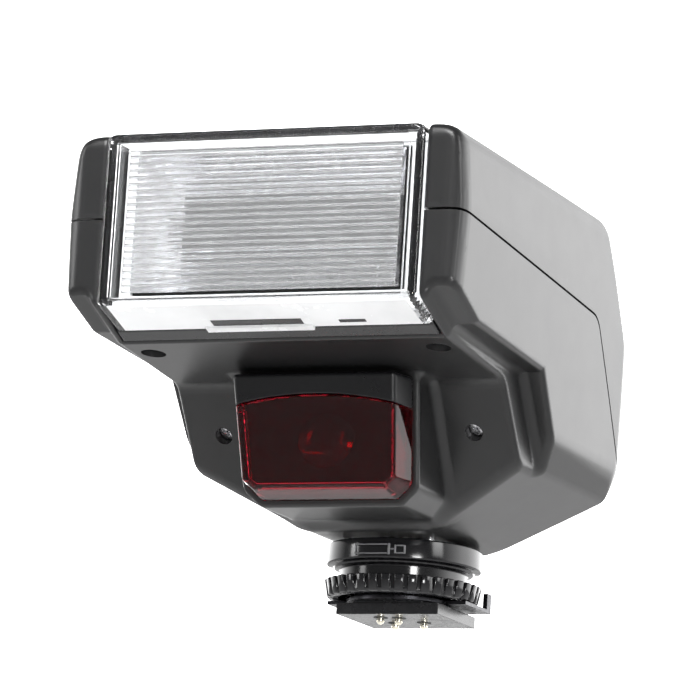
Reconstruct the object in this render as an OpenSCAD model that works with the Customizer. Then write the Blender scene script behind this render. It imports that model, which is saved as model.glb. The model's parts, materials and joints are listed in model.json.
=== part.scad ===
// Compact shoe-mount speedlight flash with a fixed head.
// Origin: centre of the foot's sole. +Z up, the flash tube fires towards -Y, +X is the flash's left hand.

/* [Casing] */
// Width of the casing across the front cheeks
case_w = 71; // [68:0.5:80]
// Width of the casing across its rear end
case_rear_w = 67; // [64:0.5:76]
// Height of the head's top front edge above the sole
top_z = 70; // [68:0.5:80]
// How far the top falls from its front edge to its rear edge
top_fall = 1.5; // [0.5:0.5:4]
// Distance from the foot's centre forward to the cheeks' front
front_reach = 69; // [66:0.5:84]
// Distance from the foot's centre back to the rear face
rear_reach = 12.5; // [11.5:0.5:18]
// Wall thickness of both shells
wall = 2; // [1.6:0.1:2.4]
// Height of the casing's floor above the sole
floor_z = 12; // [11.5:0.1:13]
// Height of the head's lowest point at its front
chin_z = 36.9; // [35:0.1:38]
// Length of the sloping chin behind the lens face
chin_l = 11.3; // [10:0.1:13]
// Height of the seam between the two shells, at the front
seam_z = 55.4; // [53:0.1:58]

/* [Flash head] */
// Width of the clear lens cover
lens_w = 56; // [50:0.5:58]
// Wall thickness of the clear lens cover
lens_t = 1.6; // [1.2:0.1:2]
// Depth of the clear cover from its face to the bezel
lens_d = 8.4; // [7.5:0.1:9]
// Depth of the black bezel ring
bezel_d = 3.3; // [2.5:0.1:4]
// Number of horizontal prisms on the lens
rib_count = 21; // [15:1:27]
// Width of the prismatic area
rib_area_w = 48; // [40:1:50]
// Height of the prismatic area
rib_area_h = 23.6; // [18:0.2:24]
// Diameter of the xenon tube
tube_d = 4; // [3:0.5:5]
// Length of the xenon tube between its seals
tube_l = 38; // [34:1:39]
// Depth of the reflector trough
trough_d = 10.4; // [8:0.2:11]

/* [Focus assist lamp] */
// Width of the red window at its top
af_w = 31.8; // [28:0.2:34]
// Height of the lamp housing
af_h = 19.6; // [18:0.2:20]
// Thickness of the red window
af_t = 1.4; // [1:0.1:1.8]
// Height of the blank plate above the window
plate_h = 5.4; // [4:0.1:6]

/* [Foot and lock] */
// Width of the shoe plate
foot_w = 18.6; // [18.4:0.1:18.6]
// Length of the shoe plate
foot_l = 16.6; // [15:0.1:18]
// Thickness of the shoe plate
foot_t = 1.95; // [1.8:0.05:2]
// Width of the foot's neck between the camera's rails
foot_neck_w = 12.4; // [12:0.1:12.4]
// Radius of the knurled wheel
wheel_r = 13.4; // [12.5:0.1:14]
// Thickness of the knurled wheel
wheel_t = 3; // [2.6:0.1:3.2]
// Number of teeth on the wheel
wheel_teeth = 36; // [24:1:44]
// Travel of the wheel and the pressure plate
lift = 1.75; // [1.5:0.05:1.75]
// Radius of the fixed collar above the wheel
collar_r = 13.2; // [12.5:0.1:14]
// Radius of the contact pins
pin_r = 0.65; // [0.5:0.05:0.7]
// How far the contact pins stand out of the sole
pin_out = 1.2; // [1:0.1:1.4]

/* [Battery] */
// Diameter of an AA cell
cell_d = 14.2; // [13.8:0.1:14.5]
// Length of an AA cell without its nub
cell_l = 49; // [48:0.5:49.5]
// Thickness of the battery case's walls
battery_wall = 0.8; // [0.7:0.1:1]
// Thickness of the battery door
door_t = 1.8; // [1.4:0.1:2]

/* [Clearances] */
// Gap between pieces that are fitted together and don't move
fit_gap = 0.15; // [0.1:0.05:0.2]
// Radial gap of a shaft that turns or slides in a hole
run_gap = 0.05; // [0.03:0.01:0.08]
// Gap round moving pieces
move_gap = 0.3; // [0.25:0.05:0.4]

/* [Hidden] */
$fn = 64;
big = 200;
overlap = 0.01;

black = [0.10, 0.10, 0.11];
grey = [0.22, 0.22, 0.23];
clear = [0.85, 0.90, 0.95, 0.4];
red = [0.45, 0.03, 0.06, 0.7];
steel = [0.75, 0.76, 0.78];
gold = [0.85, 0.68, 0.30];
board_green = [0.08, 0.30, 0.16];

// ---- Casing outline: the side view (y, z) ----
wing_slope = 0.71;                              // the wings lean back this much for each mm down
wing_top = [-34.4, 34.5];                       // where the head's underside meets the wings
seat_y = -2;                                    // axis of the collar and the wheel
rear_top = [rear_reach - 13.5, top_z - top_fall];
rear_knee = [rear_reach, top_z - 24];
rear_foot_z = floor_z + 10;
lens_low_z = chin_z + 4.6;
wing_foot_y = wing_top[0] + wing_slope * (wing_top[1] - floor_z);
side_pts = [
    [-front_reach, lens_low_z], [-front_reach + chin_l, chin_z], wing_top, [wing_foot_y, floor_z],
    [rear_reach - 3, floor_z], [rear_reach, rear_foot_z], rear_knee, rear_top, [-front_reach, top_z]];
side_radii = [1.2, 2, 4, 1, 3, 4, 3, 6, 2];

// ---- Casing outline: the front view (x, z) ----
floor_half = 10.5;
keel = [30.5, floor_z + 10.2];                  // top of the slanting underside
side_low = [case_w / 2 - 2, floor_z + 15.5];
front_half = [[floor_half, floor_z], keel, side_low, [case_w / 2, top_z - 14], [case_w / 2 - 1.8, top_z]];
front_radii_half = [2, 2, 3, 9, 5];

// ---- Casing outline: the plan (x, y) ----
plan_half = [[case_w / 2, -front_reach], [case_rear_w / 2, rear_reach]];

// ---- Wing steps at the front of the lower body ----
wing_half = 29.6;
step_back = 8.2;
step_rise = 2;
step_top_z = wing_top[1] + step_rise + 0.6;
chin_back_y = -front_reach + chin_l;

// ---- Seam ----
seam_rear = [rear_reach - 17.3, seam_z - 4.4];
seam_low = [rear_reach - 3, 29];
seam_end = [rear_reach + 3, 19.5];

// ---- Lens stack ----
lens_front_y = -front_reach - 0.6;
bezel_front_y = lens_front_y + lens_d;
bay_back_y = bezel_front_y + bezel_d;
bay_half = lens_w / 2 + fit_gap;
lens_mid_z = 54.8;
ledge_t = 1.6;                                  // wall behind the bezel
cavity_front_y = bay_back_y + ledge_t;
trough_mouth_y = lens_front_y + lens_t + 2.4;
trough_half_h = 11.2;
trough_half_w = 22.4;
sheet_t = 0.5;
tube_y = trough_mouth_y + trough_d - 3.4;
trough_window = [2 * trough_half_w + 5.6, 2 * trough_half_h - 3.4];
carrier_y = cavity_front_y + fit_gap;

// ---- Focus assist lamp ----
af_top_z = wing_top[1] - 0.2;
af_low_z = af_top_z - af_h;
af_lean = 0.26;                                 // run back for each mm down
af_front_y = -44.6;                             // window face at the top
af_cap_d = 5;                                   // the window and the plate stand this far out of the housing
af_back_y = -29;
af_rim = 0.9;

// ---- Rear slant, where the controls are ----
slant_run = rear_knee[0] - rear_top[0];
slant_fall = rear_top[1] - rear_knee[1];
slant_turn = -atan2(slant_fall, slant_run);     // tips +Z onto the slant's outward normal
slant_mid = rear_knee + 0.54 * (rear_top - rear_knee);
button_x = 17;
switch_x = -15;
lamp_x = 2;
button_r = 3.2;
lamp_r = 1.5;
switch_travel = 4;
switch_l = 7;
switch_w = 4;
control_gap = 4.6;                              // from the slant's face down to the control board
board_t = 1.2;

// ---- Battery ----
cell_gap = 0.3;
cell_pitch = cell_d + cell_gap;
case_in_h = cell_d + 2 * cell_gap;
case_in_d = cell_pitch + cell_d + 2 * cell_gap;
case_in_l = cell_l + 4.4;
case_back_y = rear_reach - wall - 0.7;
case_front_y = case_back_y - case_in_d - 2 * battery_wall;
cell_y0 = case_front_y + battery_wall + cell_gap + cell_d / 2;     // axis of the front cell
cell_z = 40;
case_low_z = cell_z - case_in_h / 2 - battery_wall;
case_top_z = cell_z + case_in_h / 2 + battery_wall;
door_y = [case_front_y + 0.5, case_back_y - 4];
door_z = [case_low_z + 0.6, case_top_z - 0.6];
hinge_r = 1.5;
hinge_pin_r = 0.7;
hinge_y = door_y[1] + move_gap + hinge_r;
knuckle_l = (door_z[1] - door_z[0] - 2 * move_gap) / 3;

function side_x(y) = case_w / 2 - (case_w - case_rear_w) / 2 * (y + front_reach) / (front_reach + rear_reach);
function flank_x(y, z) = min(side_x(y), case_w / 2 - 2 + 2 * (z - side_low[1]) / (top_z - 14 - side_low[1]));
door_face_x = -min(flank_x(hinge_y, door_z[0]), flank_x(door_y[0], door_z[0])) + 0.1;
hinge_x = door_face_x + hinge_r + 0.1;

// ---- Boards ----
main_board_z = chin_z + wall + 1.3;
main_board_y = [-52.5, case_front_y - 2.3];
power_board_z = case_top_z + 1;
power_board_y = [case_front_y + 1, -4.5];
main_board_half = wing_half - wall - 0.3;
capacitor_r = 9.6;
capacitor_l = 40;
capacitor_y = -38;
capacitor_z = main_board_z + board_t + capacitor_r + 0.5;

// ---- Foot ----
neck_top_z = 4.75;
plate_gap = 0.3;
plate_t = 0.6;
wheel_low_z = foot_t + plate_gap + plate_t + 0.1;
collar_low_z = wheel_low_z + wheel_t + lift + 0.2;
spigot_r = wheel_r - 2.6;                       // turns inside the wheel
wire_bore_r = 4.5;
foot_screw_at = 4.75;
foot_screw_sink = 2.4;
neck_screw_pcd = 21.6;
pin_spots = [[-2.8, -4.2], [0.3, -3.6], [-2.7, 2], [2.8, 1.5]];
pin_flange_r = 1.05;
pin_flange_z = 1.1;
pin_flange_t = 0.5;
contact_board_t = 0.7;
contact_board_z = neck_top_z - contact_board_t;
spring_low_z = pin_flange_z + pin_flange_t;
contact_board_half = 5.2;

// ================= helpers =================
function unit(v) = v / norm(v);
function turn_of(a, b, c) = (b[0] - a[0]) * (c[1] - b[1]) - (b[1] - a[1]) * (c[0] - b[0]);
function cross_2d(d, e) = d[0] * e[1] - d[1] * e[0];
function line_cross(p, d, q, e) = p + d * cross_2d(q - p, e) / cross_2d(d, e);

// A closed anticlockwise outline moved inwards by w.
function inset(pts, w) = let (n = len(pts)) [for (i = [0 : n - 1])
    let (a = pts[(i + n - 1) % n], b = pts[i], c = pts[(i + 1) % n], d = unit(b - a), e = unit(c - b))
    line_cross(a + w * [-d[1], d[0]], d, b + w * [-e[1], e[0]], e)];

// The same outline with each corner turned into an arc. grow is added where the corner points inwards.
function rounded(pts, radii, w = 0, steps = 5) = let (n = len(pts)) [for (i = [0 : n - 1])
    let (a = pts[(i + n - 1) % n], b = pts[i], c = pts[(i + 1) % n],
        u = unit(a - b), v = unit(c - b), half = acos(u * v) / 2,
        r = turn_of(a, b, c) > 0 ? max(radii[i] - w, 0.3) : radii[i] + w,
        centre = b + unit(u + v) * r / sin(half),
        p = b + u * r / tan(half) - centre, q = b + v * r / tan(half) - centre,
        a0 = atan2(p[1], p[0]), sweep = (atan2(q[1], q[0]) - a0 + 540) % 360 - 180)
    for (k = [0 : steps]) centre + r * [cos(a0 + sweep * k / steps), sin(a0 + sweep * k / steps)]];

function mirrored(half) = let (n = len(half))
    concat(half, [for (i = [n - 1 : -1 : 0]) [-half[i][0], half[i][1]]]);
function repeated(list) = let (n = len(list)) concat(list, [for (i = [n - 1 : -1 : 0]) list[i]]);

module along_x(pts, l = big) rotate([90, 0, 90]) linear_extrude(l, center = true) polygon(pts);
module along_y(pts, l = big) rotate([90, 0, 0]) linear_extrude(l, center = true) polygon(pts);
module along_z(pts, l = big) linear_extrude(l, center = true) polygon(pts);
module block(low, high) translate(low) cube(high - low);
module mid_block(size, low) translate([low[0], low[1], low[2] + size[2] / 2]) cube(size, center = true);
module both_sides() {
    children();
    mirror([1, 0, 0]) children();
}

// The casing's outer form, shrunk by w all round.
module casing_form(w = 0) {
    intersection() {
        along_x(rounded(inset(side_pts, w), side_radii, w));
        along_y(rounded(inset(mirrored(front_half), w), repeated(front_radii_half), w));
        along_z(rounded(inset(mirrored(plan_half), w), repeated([3.5, 3]), w));
    }
}

// The outer skin stops short of the wings and of the head's underside. Grown by w for the cavity.
module wing_steps(w = 0) {
    edge_y = wing_top[0] + step_back + wing_slope * (wing_top[1] - step_top_z);
    front_z = lens_low_z + step_rise;
    both_sides() intersection() {
        block([wing_half - w, -big, 0], [big, big, big]);
        along_x([[-big, 0], [edge_y + wing_slope * step_top_z + w, 0], [edge_y + w, step_top_z + w],
            [chin_back_y + w, chin_z + step_rise + w], [-front_reach - 5, front_z + w + 2], [-big, front_z]]);
    }
}

// Front view of the lamp, grown by w.
function af_outline(w = 0) = let (half = af_w / 2) mirrored(
    [[half - 3.7 + w / 2, af_low_z - w], [half - 1 + w, af_low_z + 2.3 - w / 2], [half + w, af_top_z]]);

// Everything between two depths behind the lamp's leaning face.
module af_slab(near, far) {
    over = 5;                                   // the slab runs past the lamp's top and bottom
    high_y = af_front_y - over * af_lean;
    low_y = af_front_y + (af_h + over) * af_lean;
    along_x([[high_y + far, af_top_z + over], [high_y + near, af_top_z + over],
        [low_y + near, af_low_z - over], [low_y + far, af_low_z - over]]);
}

// The housing that carries the lamp and runs back into the wings, grown by w.
module af_housing_form(w = 0) {
    intersection() {
        along_y(rounded(af_outline(af_rim + w), repeated([1.5, 2, 0.3])));
        af_slab(af_cap_d, 60);
        block([-big, -big, 0], [big, wing_foot_y + 3, af_top_z + w]);
    }
}

// The window and the plate together, shrunk by w.
module af_cap_form(w = 0) {
    intersection() {
        along_y(rounded(inset(af_outline(), w), repeated([1.2, 1.5, 0.3]), w));
        af_slab(w, af_cap_d - overlap);
    }
}

module below_seam(gap = 0) {
    along_x([[-big, -1], [big, -1], [big, seam_end[1] - gap], seam_end - [0, gap], seam_low - [gap, 0],
        seam_rear - [gap, gap], [-front_reach - 5, seam_z + 0.35 - gap], [-big, seam_z - gap]]);
}

module lens_bay() block([-bay_half, -big, 0], [bay_half, bay_back_y, big]);
module trough_opening(grow = 0) {
    mid_block([trough_window[0] + 2 * grow, 3 * ledge_t, trough_window[1] + 2 * grow],
        [0, bay_back_y + ledge_t / 2, lens_mid_z - trough_window[1] / 2 - grow]);
}

module hollow() {
    difference() {
        casing_form(wall);
        wing_steps(wall);
        block([-big, -big, 0], [big, cavity_front_y, big]);
    }
}

module on_slant(x, rise = 0, sunk = 0) {
    translate([x, slant_mid[0], slant_mid[1]]) rotate([slant_turn, 0, 0])
        translate([0, rise, -sunk]) children();
}

// A pan-head screw pointing down its own -Z, with a cross recess.
module screw(r, l, head_r, head_h) {
    difference() {
        union() {
            translate([0, 0, -l]) cylinder(r = r, h = l);
            cylinder(r = head_r, h = head_h);
        }
        for (a = [0, 90]) rotate([0, 0, a])
            mid_block([head_r * 1.2, head_r * 0.28, head_h], [0, 0, head_h * 0.45]);
    }
}

// A stack of joined turns that stands for a coil spring.
module coil(r, wire, l, turns) {
    pitch = (l - 2 * wire) / turns;
    steps = 14;
    sides = 6;
    n = round(turns * steps);
    path = [for (i = [0 : n]) let (a = 360 * i / steps) [r * cos(a), r * sin(a), wire + pitch * i / steps]];
    pts = [for (i = [0 : n]) let (a = 360 * i / steps, out = [cos(a), sin(a), 0])
        for (k = [0 : sides - 1]) let (b = 360 * k / sides)
            path[i] + wire * (cos(b) * out + sin(b) * [0, 0, 1])];
    faces = concat(
        [for (i = [0 : n - 1]) for (k = [0 : sides - 1])
            let (a = i * sides, b = a + sides, next = (k + 1) % sides) [a + k, a + next, b + next, b + k]],
        [[for (k = [sides - 1 : -1 : 0]) k], [for (k = [0 : sides - 1]) n * sides + k]]);
    polyhedron(pts, faces);
}

// A round wire through a list of points.
module wire(points, r) {
    for (i = [0 : len(points) - 2]) {
        a = points[i];
        d = points[i + 1] - a;
        translate(a) rotate([0, acos(d[2] / norm(d)), atan2(d[1], d[0])])
            cylinder(r = r, h = norm(d), $fn = 24);
    }
    for (i = [1 : len(points) - 2]) translate(points[i]) sphere(r = 1.2 * r, $fn = 24);
}

// ================= casing =================
head_screw_at = [25.3, -52.3];
head_screw_z = chin_z + 1.4;                    // underside of the screw's head
head_boss_l = main_board_z - head_screw_z - 0.1;
case_screw_at = [22.6, -29, 26.8];
case_screw_sink = 2.8;                          // from the wing's face down to the screw's seat
case_boss_l = case_screw_sink + 1.6;
wing_turn = 90 + atan(wing_slope);              // tips +Z onto the wing's outward normal
module at_head_screws() {
    both_sides() translate([head_screw_at[0], head_screw_at[1], head_screw_z])
        rotate([180, 0, 0]) children();
}
module at_case_screws() {
    both_sides() translate(case_screw_at) rotate([wing_turn, 0, 0]) children();
}
module at_neck_screws() {
    for (a = [45 : 90 : 315])
        translate([neck_screw_pcd / 2 * cos(a), seat_y + neck_screw_pcd / 2 * sin(a), 0]) children();
}
module at_foot_screws() {
    for (x = [-1, 1], y = [-1, 1]) translate([x * foot_screw_at, seat_y + y * foot_screw_at, 0]) children();
}

module door_opening() {
    block([-big, door_y[0] - fit_gap, door_z[0] - fit_gap],
        [hinge_x + hinge_r + move_gap, hinge_y + hinge_r + move_gap + 0.2, door_z[1] + fit_gap]);
}

module hinge_lug() {
    low = door_z[0] + knuckle_l + move_gap;
    translate([hinge_x, hinge_y, low]) difference() {
        union() {
            cylinder(r = hinge_r, h = knuckle_l);
            block([hinge_r - 0.6, -0.8, 0], [hinge_r + 1.6, hinge_r + 6, knuckle_l]);
            block([-1, hinge_r + move_gap + 0.2, 0], [hinge_r + 1, hinge_r + 6, knuckle_l]);
        }
        translate([0, 0, -1]) cylinder(r = hinge_pin_r, h = knuckle_l + 2);
    }
}

module front_shell() {
    color(grey) difference() {
        union() {
            difference() {
                intersection() {
                    difference() {
                        casing_form();
                        wing_steps();
                    }
                    below_seam();
                }
                hollow();
            }
            at_head_screws() translate([0, 0, -head_boss_l]) cylinder(r = 3.4, h = head_boss_l + 1);
            at_case_screws() translate([0, 0, -case_boss_l]) cylinder(r = 2.7, h = case_boss_l - 1);
            difference() {
                af_housing_form();
                hollow();
                casing_form(wall / 2);
            }
        }
        lens_bay();
        trough_opening();
        af_cut();
        door_opening();
        at_head_screws() {
            cylinder(r = 2.1, h = big);
            translate([0, 0, -6]) cylinder(r = 1.05, h = 12);
        }
        at_case_screws() {
            translate([0, 0, -case_screw_sink]) cylinder(r = 1.5, h = 10);
            translate([0, 0, -8]) cylinder(r = 0.85, h = 12);
        }
        translate([0, seat_y, floor_z - 1]) cylinder(r = 8.6, h = wall + 2);
        translate([0, 0, floor_z - 1]) at_neck_screws() cylinder(r = 1.05, h = wall + 2);
    }
}

// Room in the lamp housing for what is behind the window.
module af_cut() {
    intersection() {
        along_y(inset(af_outline(), af_t + 0.2));
        block([-big, -big, af_low_z + af_t], [big, af_back_y, af_top_z - 1]);
    }
    mid_block([20, 14, 12], [0, af_back_y + 2, led_z - 6]);
}

module rear_shell() {
    reach = 20;                                 // the openings run this far, well past the slant
    color(grey) difference() {
        union() {
            difference() {
                intersection() {
                    casing_form();
                    difference() {
                        block([-big, -big, 0], [big, big, big]);
                        below_seam();
                    }
                }
                hollow();
                door_opening();
            }
            intersection() {
                casing_form(wall / 4);
                hinge_lug();
            }
        }
        lens_bay();
        trough_opening();
        on_slant(button_x, 0, wall + 1) cylinder(r = button_r + move_gap, h = reach);
        on_slant(lamp_x, 0, wall + 1) cylinder(r = lamp_r + fit_gap, h = reach);
        on_slant(switch_x, 0, wall + 1)
            mid_block([switch_l - 2 + switch_travel, switch_w - 1.6, reach], [switch_travel / 2, 0, 0]);
        on_slant(switch_x, 0, 0.8)
            mid_block([switch_l + switch_travel + 2 * move_gap, switch_w + 2 * move_gap, reach],
                [switch_travel / 2, 0, 0]);
        rear_plate_block(fit_gap, 1);
    }
}

plate_w = 42;
rear_plate_z = [31, rear_knee[1] - 3];
module rear_plate_block(grow, out) {
    block([-plate_w / 2 - grow, rear_reach - 0.8, rear_plate_z[0] - grow],
        [plate_w / 2 + grow, rear_reach + out, rear_plate_z[1] + grow]);
}
module rear_plate() color(black) rear_plate_block(0, -0.2);

// ================= flash head =================
module lens_bezel() {
    color(black) difference() {
        intersection() {
            casing_form();
            block([-bay_half + fit_gap, bezel_front_y, 0], [bay_half - fit_gap, bay_back_y - overlap, big]);
        }
        mid_block([trough_window[0], big, trough_window[1] + 2],
            [0, bezel_front_y, lens_mid_z - trough_window[1] / 2 - 1]);
    }
}

lens_top_z = top_z - 0.4;
lens_pts = [[lens_front_y, lens_low_z - 0.5], [bezel_front_y, chin_z + 1.4], [bezel_front_y, lens_top_z],
    [lens_front_y, lens_top_z]];
// The cover's open inside, carried on backwards past its rear edge.
lens_room = [[lens_front_y, lens_low_z - 0.5], [big, chin_z - 18.6], [big, lens_top_z],
    [lens_front_y, lens_top_z]];
rib_pitch = rib_area_h / rib_count;
rib_h = 0.45;
module flash_lens() {
    rib_low = lens_mid_z - rib_area_h / 2;
    face = lens_front_y + lens_t - overlap;
    color(clear) {
        difference() {
            intersection() {
                along_x(rounded(lens_pts, [1, 0.3, 0.3, 1]), lens_w);
                block([-lens_w / 2, -big, 0], [lens_w / 2, bezel_front_y, big]);
            }
            along_x(inset(lens_room, lens_t), lens_w - 2 * lens_t);
        }
        along_x(concat([[face, rib_low + rib_area_h], [face, rib_low]],
            [for (i = [0 : rib_count - 1]) for (p = [[rib_h, 0.06], [2 * rib_h, 0.5], [rib_h, 0.94]])
                [face + p[0], rib_low + rib_pitch * (i + p[1])]]),
            rib_area_w);
    }
}

trough_steps = 10;
function trough(w) = [for (i = [-trough_steps : trough_steps]) let (t = i / trough_steps)
    [trough_mouth_y + trough_d * (1 - t * t) + w, lens_mid_z + (trough_half_h + w) * t]];
module reflector() {
    half = trough_half_h + sheet_t;
    outer = concat(trough(sheet_t),
        [[trough_mouth_y, lens_mid_z + half], [trough_mouth_y, lens_mid_z - half]]);
    inner = concat(trough(0), [[trough_mouth_y - 1, lens_mid_z + trough_half_h],
        [trough_mouth_y - 1, lens_mid_z - trough_half_h]]);
    color(steel) difference() {
        intersection() {
            along_x(outer, 2 * trough_half_w);
            block([-big, -big, 0], [big, trough_mouth_y + trough_d + sheet_t, big]);
        }
        along_x(inner, 2 * trough_half_w - 2 * sheet_t);
        translate([0, tube_y, lens_mid_z]) rotate([0, 90, 0])
            cylinder(r = tube_d / 2 + move_gap, h = big, center = true);
    }
}

module reflector_carrier() {
    back_y = trough_mouth_y + trough_d + sheet_t + 0.3;
    color(black) difference() {
        block([-bay_half + 1, carrier_y, lens_mid_z - 12.4],
            [bay_half - 1, back_y + 1.4, lens_mid_z + 11.4]);
        block([-trough_half_w - 0.3, -big, lens_mid_z - 9.4],
            [trough_half_w + 0.3, back_y, lens_mid_z + 9.4]);
        both_sides() mid_block([2.8, big, 7], [trough_half_w + 1.5, 0, lens_mid_z - 3.5]);
    }
}

seal_l = 4;                                     // glass seal at each end of the tube
module flash_tube() {
    color(clear) translate([0, tube_y, lens_mid_z]) rotate([0, 90, 0]) {
        cylinder(r = tube_d / 2, h = tube_l, center = true);
        for (s = [0, 180]) rotate([s, 0, 0]) translate([0, 0, tube_l / 2 - overlap])
            cylinder(r1 = tube_d / 2 - 0.3, r2 = 0.9, h = seal_l + overlap);
    }
}

boot_gap = 0.1;
boot_l = 2.4;
boot_r = tube_d / 2 + 0.9;
module tube_boots() {
    color(black) both_sides() translate([trough_half_w + 0.1, tube_y, lens_mid_z]) rotate([0, 90, 0])
        difference() {
            cylinder(r = boot_r, h = boot_l);
            translate([0, 0, -1]) cylinder(r = tube_d / 2 + boot_gap, h = boot_l + 0.4);
        }
}

lead_r = 0.45;
module tube_leads() {
    x = trough_half_w + 0.1 + boot_l / 2;
    y = capacitor_y - capacitor_r - 2.2;
    color(red) both_sides()
        wire([[x, tube_y + boot_r, lens_mid_z], [x, y, lens_mid_z], [x, y, main_board_z + board_t]], lead_r);
}

// ================= focus assist lamp =================
arch_rise = 2;
module window_top(grow = 0) {
    r = (pow(af_w / 2, 2) + arch_rise * arch_rise) / (2 * arch_rise);
    translate([0, 0, af_top_z - plate_h + arch_rise - r]) rotate([90, 0, 0])
        cylinder(r = r + grow, h = big, center = true, $fn = 256);
}
module af_window() {
    color(red) difference() {
        intersection() {
            af_cap_form();
            window_top();
        }
        intersection() {
            af_cavity();
            window_top(-af_t);
        }
    }
}
module af_nameplate() {
    color(black) difference() {
        af_cap_form();
        window_top(fit_gap);
        af_cavity();
    }
}
module af_cavity() {
    intersection() {
        along_y(rounded(inset(af_outline(), af_t), repeated([1.2, 1.5, 0.3]), af_t));
        af_slab(af_t, af_cap_d + 2);
    }
}
led_z = af_low_z + 10;
module af_led() {
    color(red) translate([0, af_back_y - 1.4, led_z]) rotate([90, 0, 0]) {
        cylinder(r = 2.5, h = 3);
        translate([0, 0, 3 - overlap]) intersection() {
            cylinder(r = 2.5, h = 2.4);
            sphere(r = 2.5);
        }
    }
}
module af_led_lens() {
    color(clear) translate([0, af_back_y - 8.2, led_z]) rotate([90, 0, 0]) intersection() {
        cylinder(r = 5, h = 2.2);
        translate([0, 0, -6.6]) sphere(r = 8.4);
    }
}
module af_board() color(board_green) mid_block([19, board_t, 11.2], [0, af_back_y - 0.7, led_z - 5.6]);

// ================= electronics =================
module main_capacitor() {
    color(black) translate([0, capacitor_y, capacitor_z]) rotate([0, 90, 0]) {
        difference() {
            cylinder(r = capacitor_r, h = capacitor_l, center = true);
            translate([0, 0, capacitor_l / 2 - 2.5]) difference() {
                cylinder(r = capacitor_r + 1, h = 0.8);
                cylinder(r = capacitor_r - 0.5, h = 0.8);
            }
        }
    }
}
strap_w = 5;
module capacitor_strap() {
    color(steel) difference() {
        union() {
            translate([0, capacitor_y, capacitor_z]) rotate([0, 90, 0])
                cylinder(r = capacitor_r + 0.5, h = strap_w, center = true);
            mid_block([strap_w, 2 * capacitor_r + 6, 0.45], [0, capacitor_y, main_board_z + board_t]);
        }
        translate([0, capacitor_y, capacitor_z]) rotate([0, 90, 0])
            cylinder(r = capacitor_r + 0.02, h = big, center = true);
        block([-big, -big, 0], [big, big, main_board_z + board_t]);
    }
}
module main_board() {
    color(board_green) difference() {
        block([-main_board_half, main_board_y[0], main_board_z],
            [main_board_half, main_board_y[1], main_board_z + board_t]);
        at_head_screws() cylinder(r = head_screw_r + fit_gap, h = big, center = true);
        both_sides() translate([main_board_half - 3, main_board_y[1] - 3, 0]) cylinder(r = 1.1, h = big);
    }
}
module power_board() {
    color(board_green) difference() {
        block([-28, power_board_y[0], power_board_z], [28, power_board_y[1], power_board_z + board_t]);
        both_sides() translate([25.5, power_board_y[0] + 2.5, 0]) cylinder(r = 1.1, h = big);
    }
}
part_z = power_board_z + board_t;
module board_parts() {
    color(black) {
        mid_block([5, 9, 9], [20, -11, part_z]);
        mid_block([8, 6, 1.6], [5, -9, part_z]);
        mid_block([6, 8, 1.2], [-22.5, -11, part_z]);
        for (i = [0 : 3]) mid_block([2.2, 1.3, 0.7], [1 + 3.4 * i, -14.5, part_z]);
        for (i = [0 : 1]) translate([14.5 - 6.5 * i, -18, part_z]) cylinder(r = 2.3, h = 7.5);
    }
}
module transformer() {
    color(gold) {
        translate([-10, -11.5, part_z]) {
            mid_block([15, 13, 1.6], [0, 0, 0]);
            translate([0, 0, 1.6 - overlap]) cylinder(r = 5.2, h = 7.6);
            mid_block([15, 5, 2.4], [0, 0, 9.1]);
            for (s = [-1, 1]) mid_block([2.2, 5, 9], [s * 6.4, 0, 1.5]);
        }
    }
}
module trigger_coil() {
    color(gold) translate([23.8, -36, main_board_z + board_t + 3.5]) rotate([90, 0, 0]) {
        cylinder(r = 2.6, h = 8, center = true);
        for (s = [-1, 1]) translate([0, 0, s * 4.4]) cylinder(r = 3.5, h = 1, center = true);
    }
}

// ================= battery =================
case_half_l = case_in_l / 2;
case_mid_x = 0.6;
case_mouth_x = door_face_x + door_t + 1.5;
case_bevel = 3;                                 // the top rear edge follows the casing's slant
case_outline = [[case_front_y, case_low_z], [case_back_y, case_low_z], [case_back_y, case_top_z - case_bevel],
    [case_back_y - case_bevel * slant_run / slant_fall, case_top_z], [case_front_y, case_top_z]];
module battery_case() {
    case_end_x = case_mid_x + case_half_l;
    color(black) difference() {
        translate([(case_mouth_x + case_end_x + battery_wall) / 2, 0, 0])
            along_x(case_outline, case_end_x + battery_wall - case_mouth_x);
        translate([case_end_x - big / 2, 0, 0]) along_x(inset(case_outline, battery_wall));
        block([-big, door_y[1] - 0.6, door_z[0] - 1], [hinge_x + hinge_r + 1.6, big, door_z[1] + 1]);
    }
}
module aa_cells() {
    color(steel) for (i = [0, 1])
        translate([case_mid_x, cell_y0 + i * cell_pitch, cell_z]) rotate([0, i == 0 ? 90 : -90, 0]) {
            translate([0, 0, -cell_l / 2]) cylinder(r = cell_d / 2, h = cell_l);
            translate([0, 0, cell_l / 2 - overlap]) cylinder(r = 2.7, h = 1.2);
        }
}
contact_t = 0.4;
module battery_contacts() {
    x = case_mid_x + case_half_l - contact_t;
    color(steel) {
        for (i = [0, 1]) translate([x, cell_y0 + i * cell_pitch, cell_z - 4]) {
            block([0, -4, 0], [contact_t, 4, 8]);
            if (i == 1) translate([overlap, 0, 4]) rotate([0, -90, 0])
                cylinder(r1 = 3.4, r2 = 1.6, h = 1.6);
        }
    }
}

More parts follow.
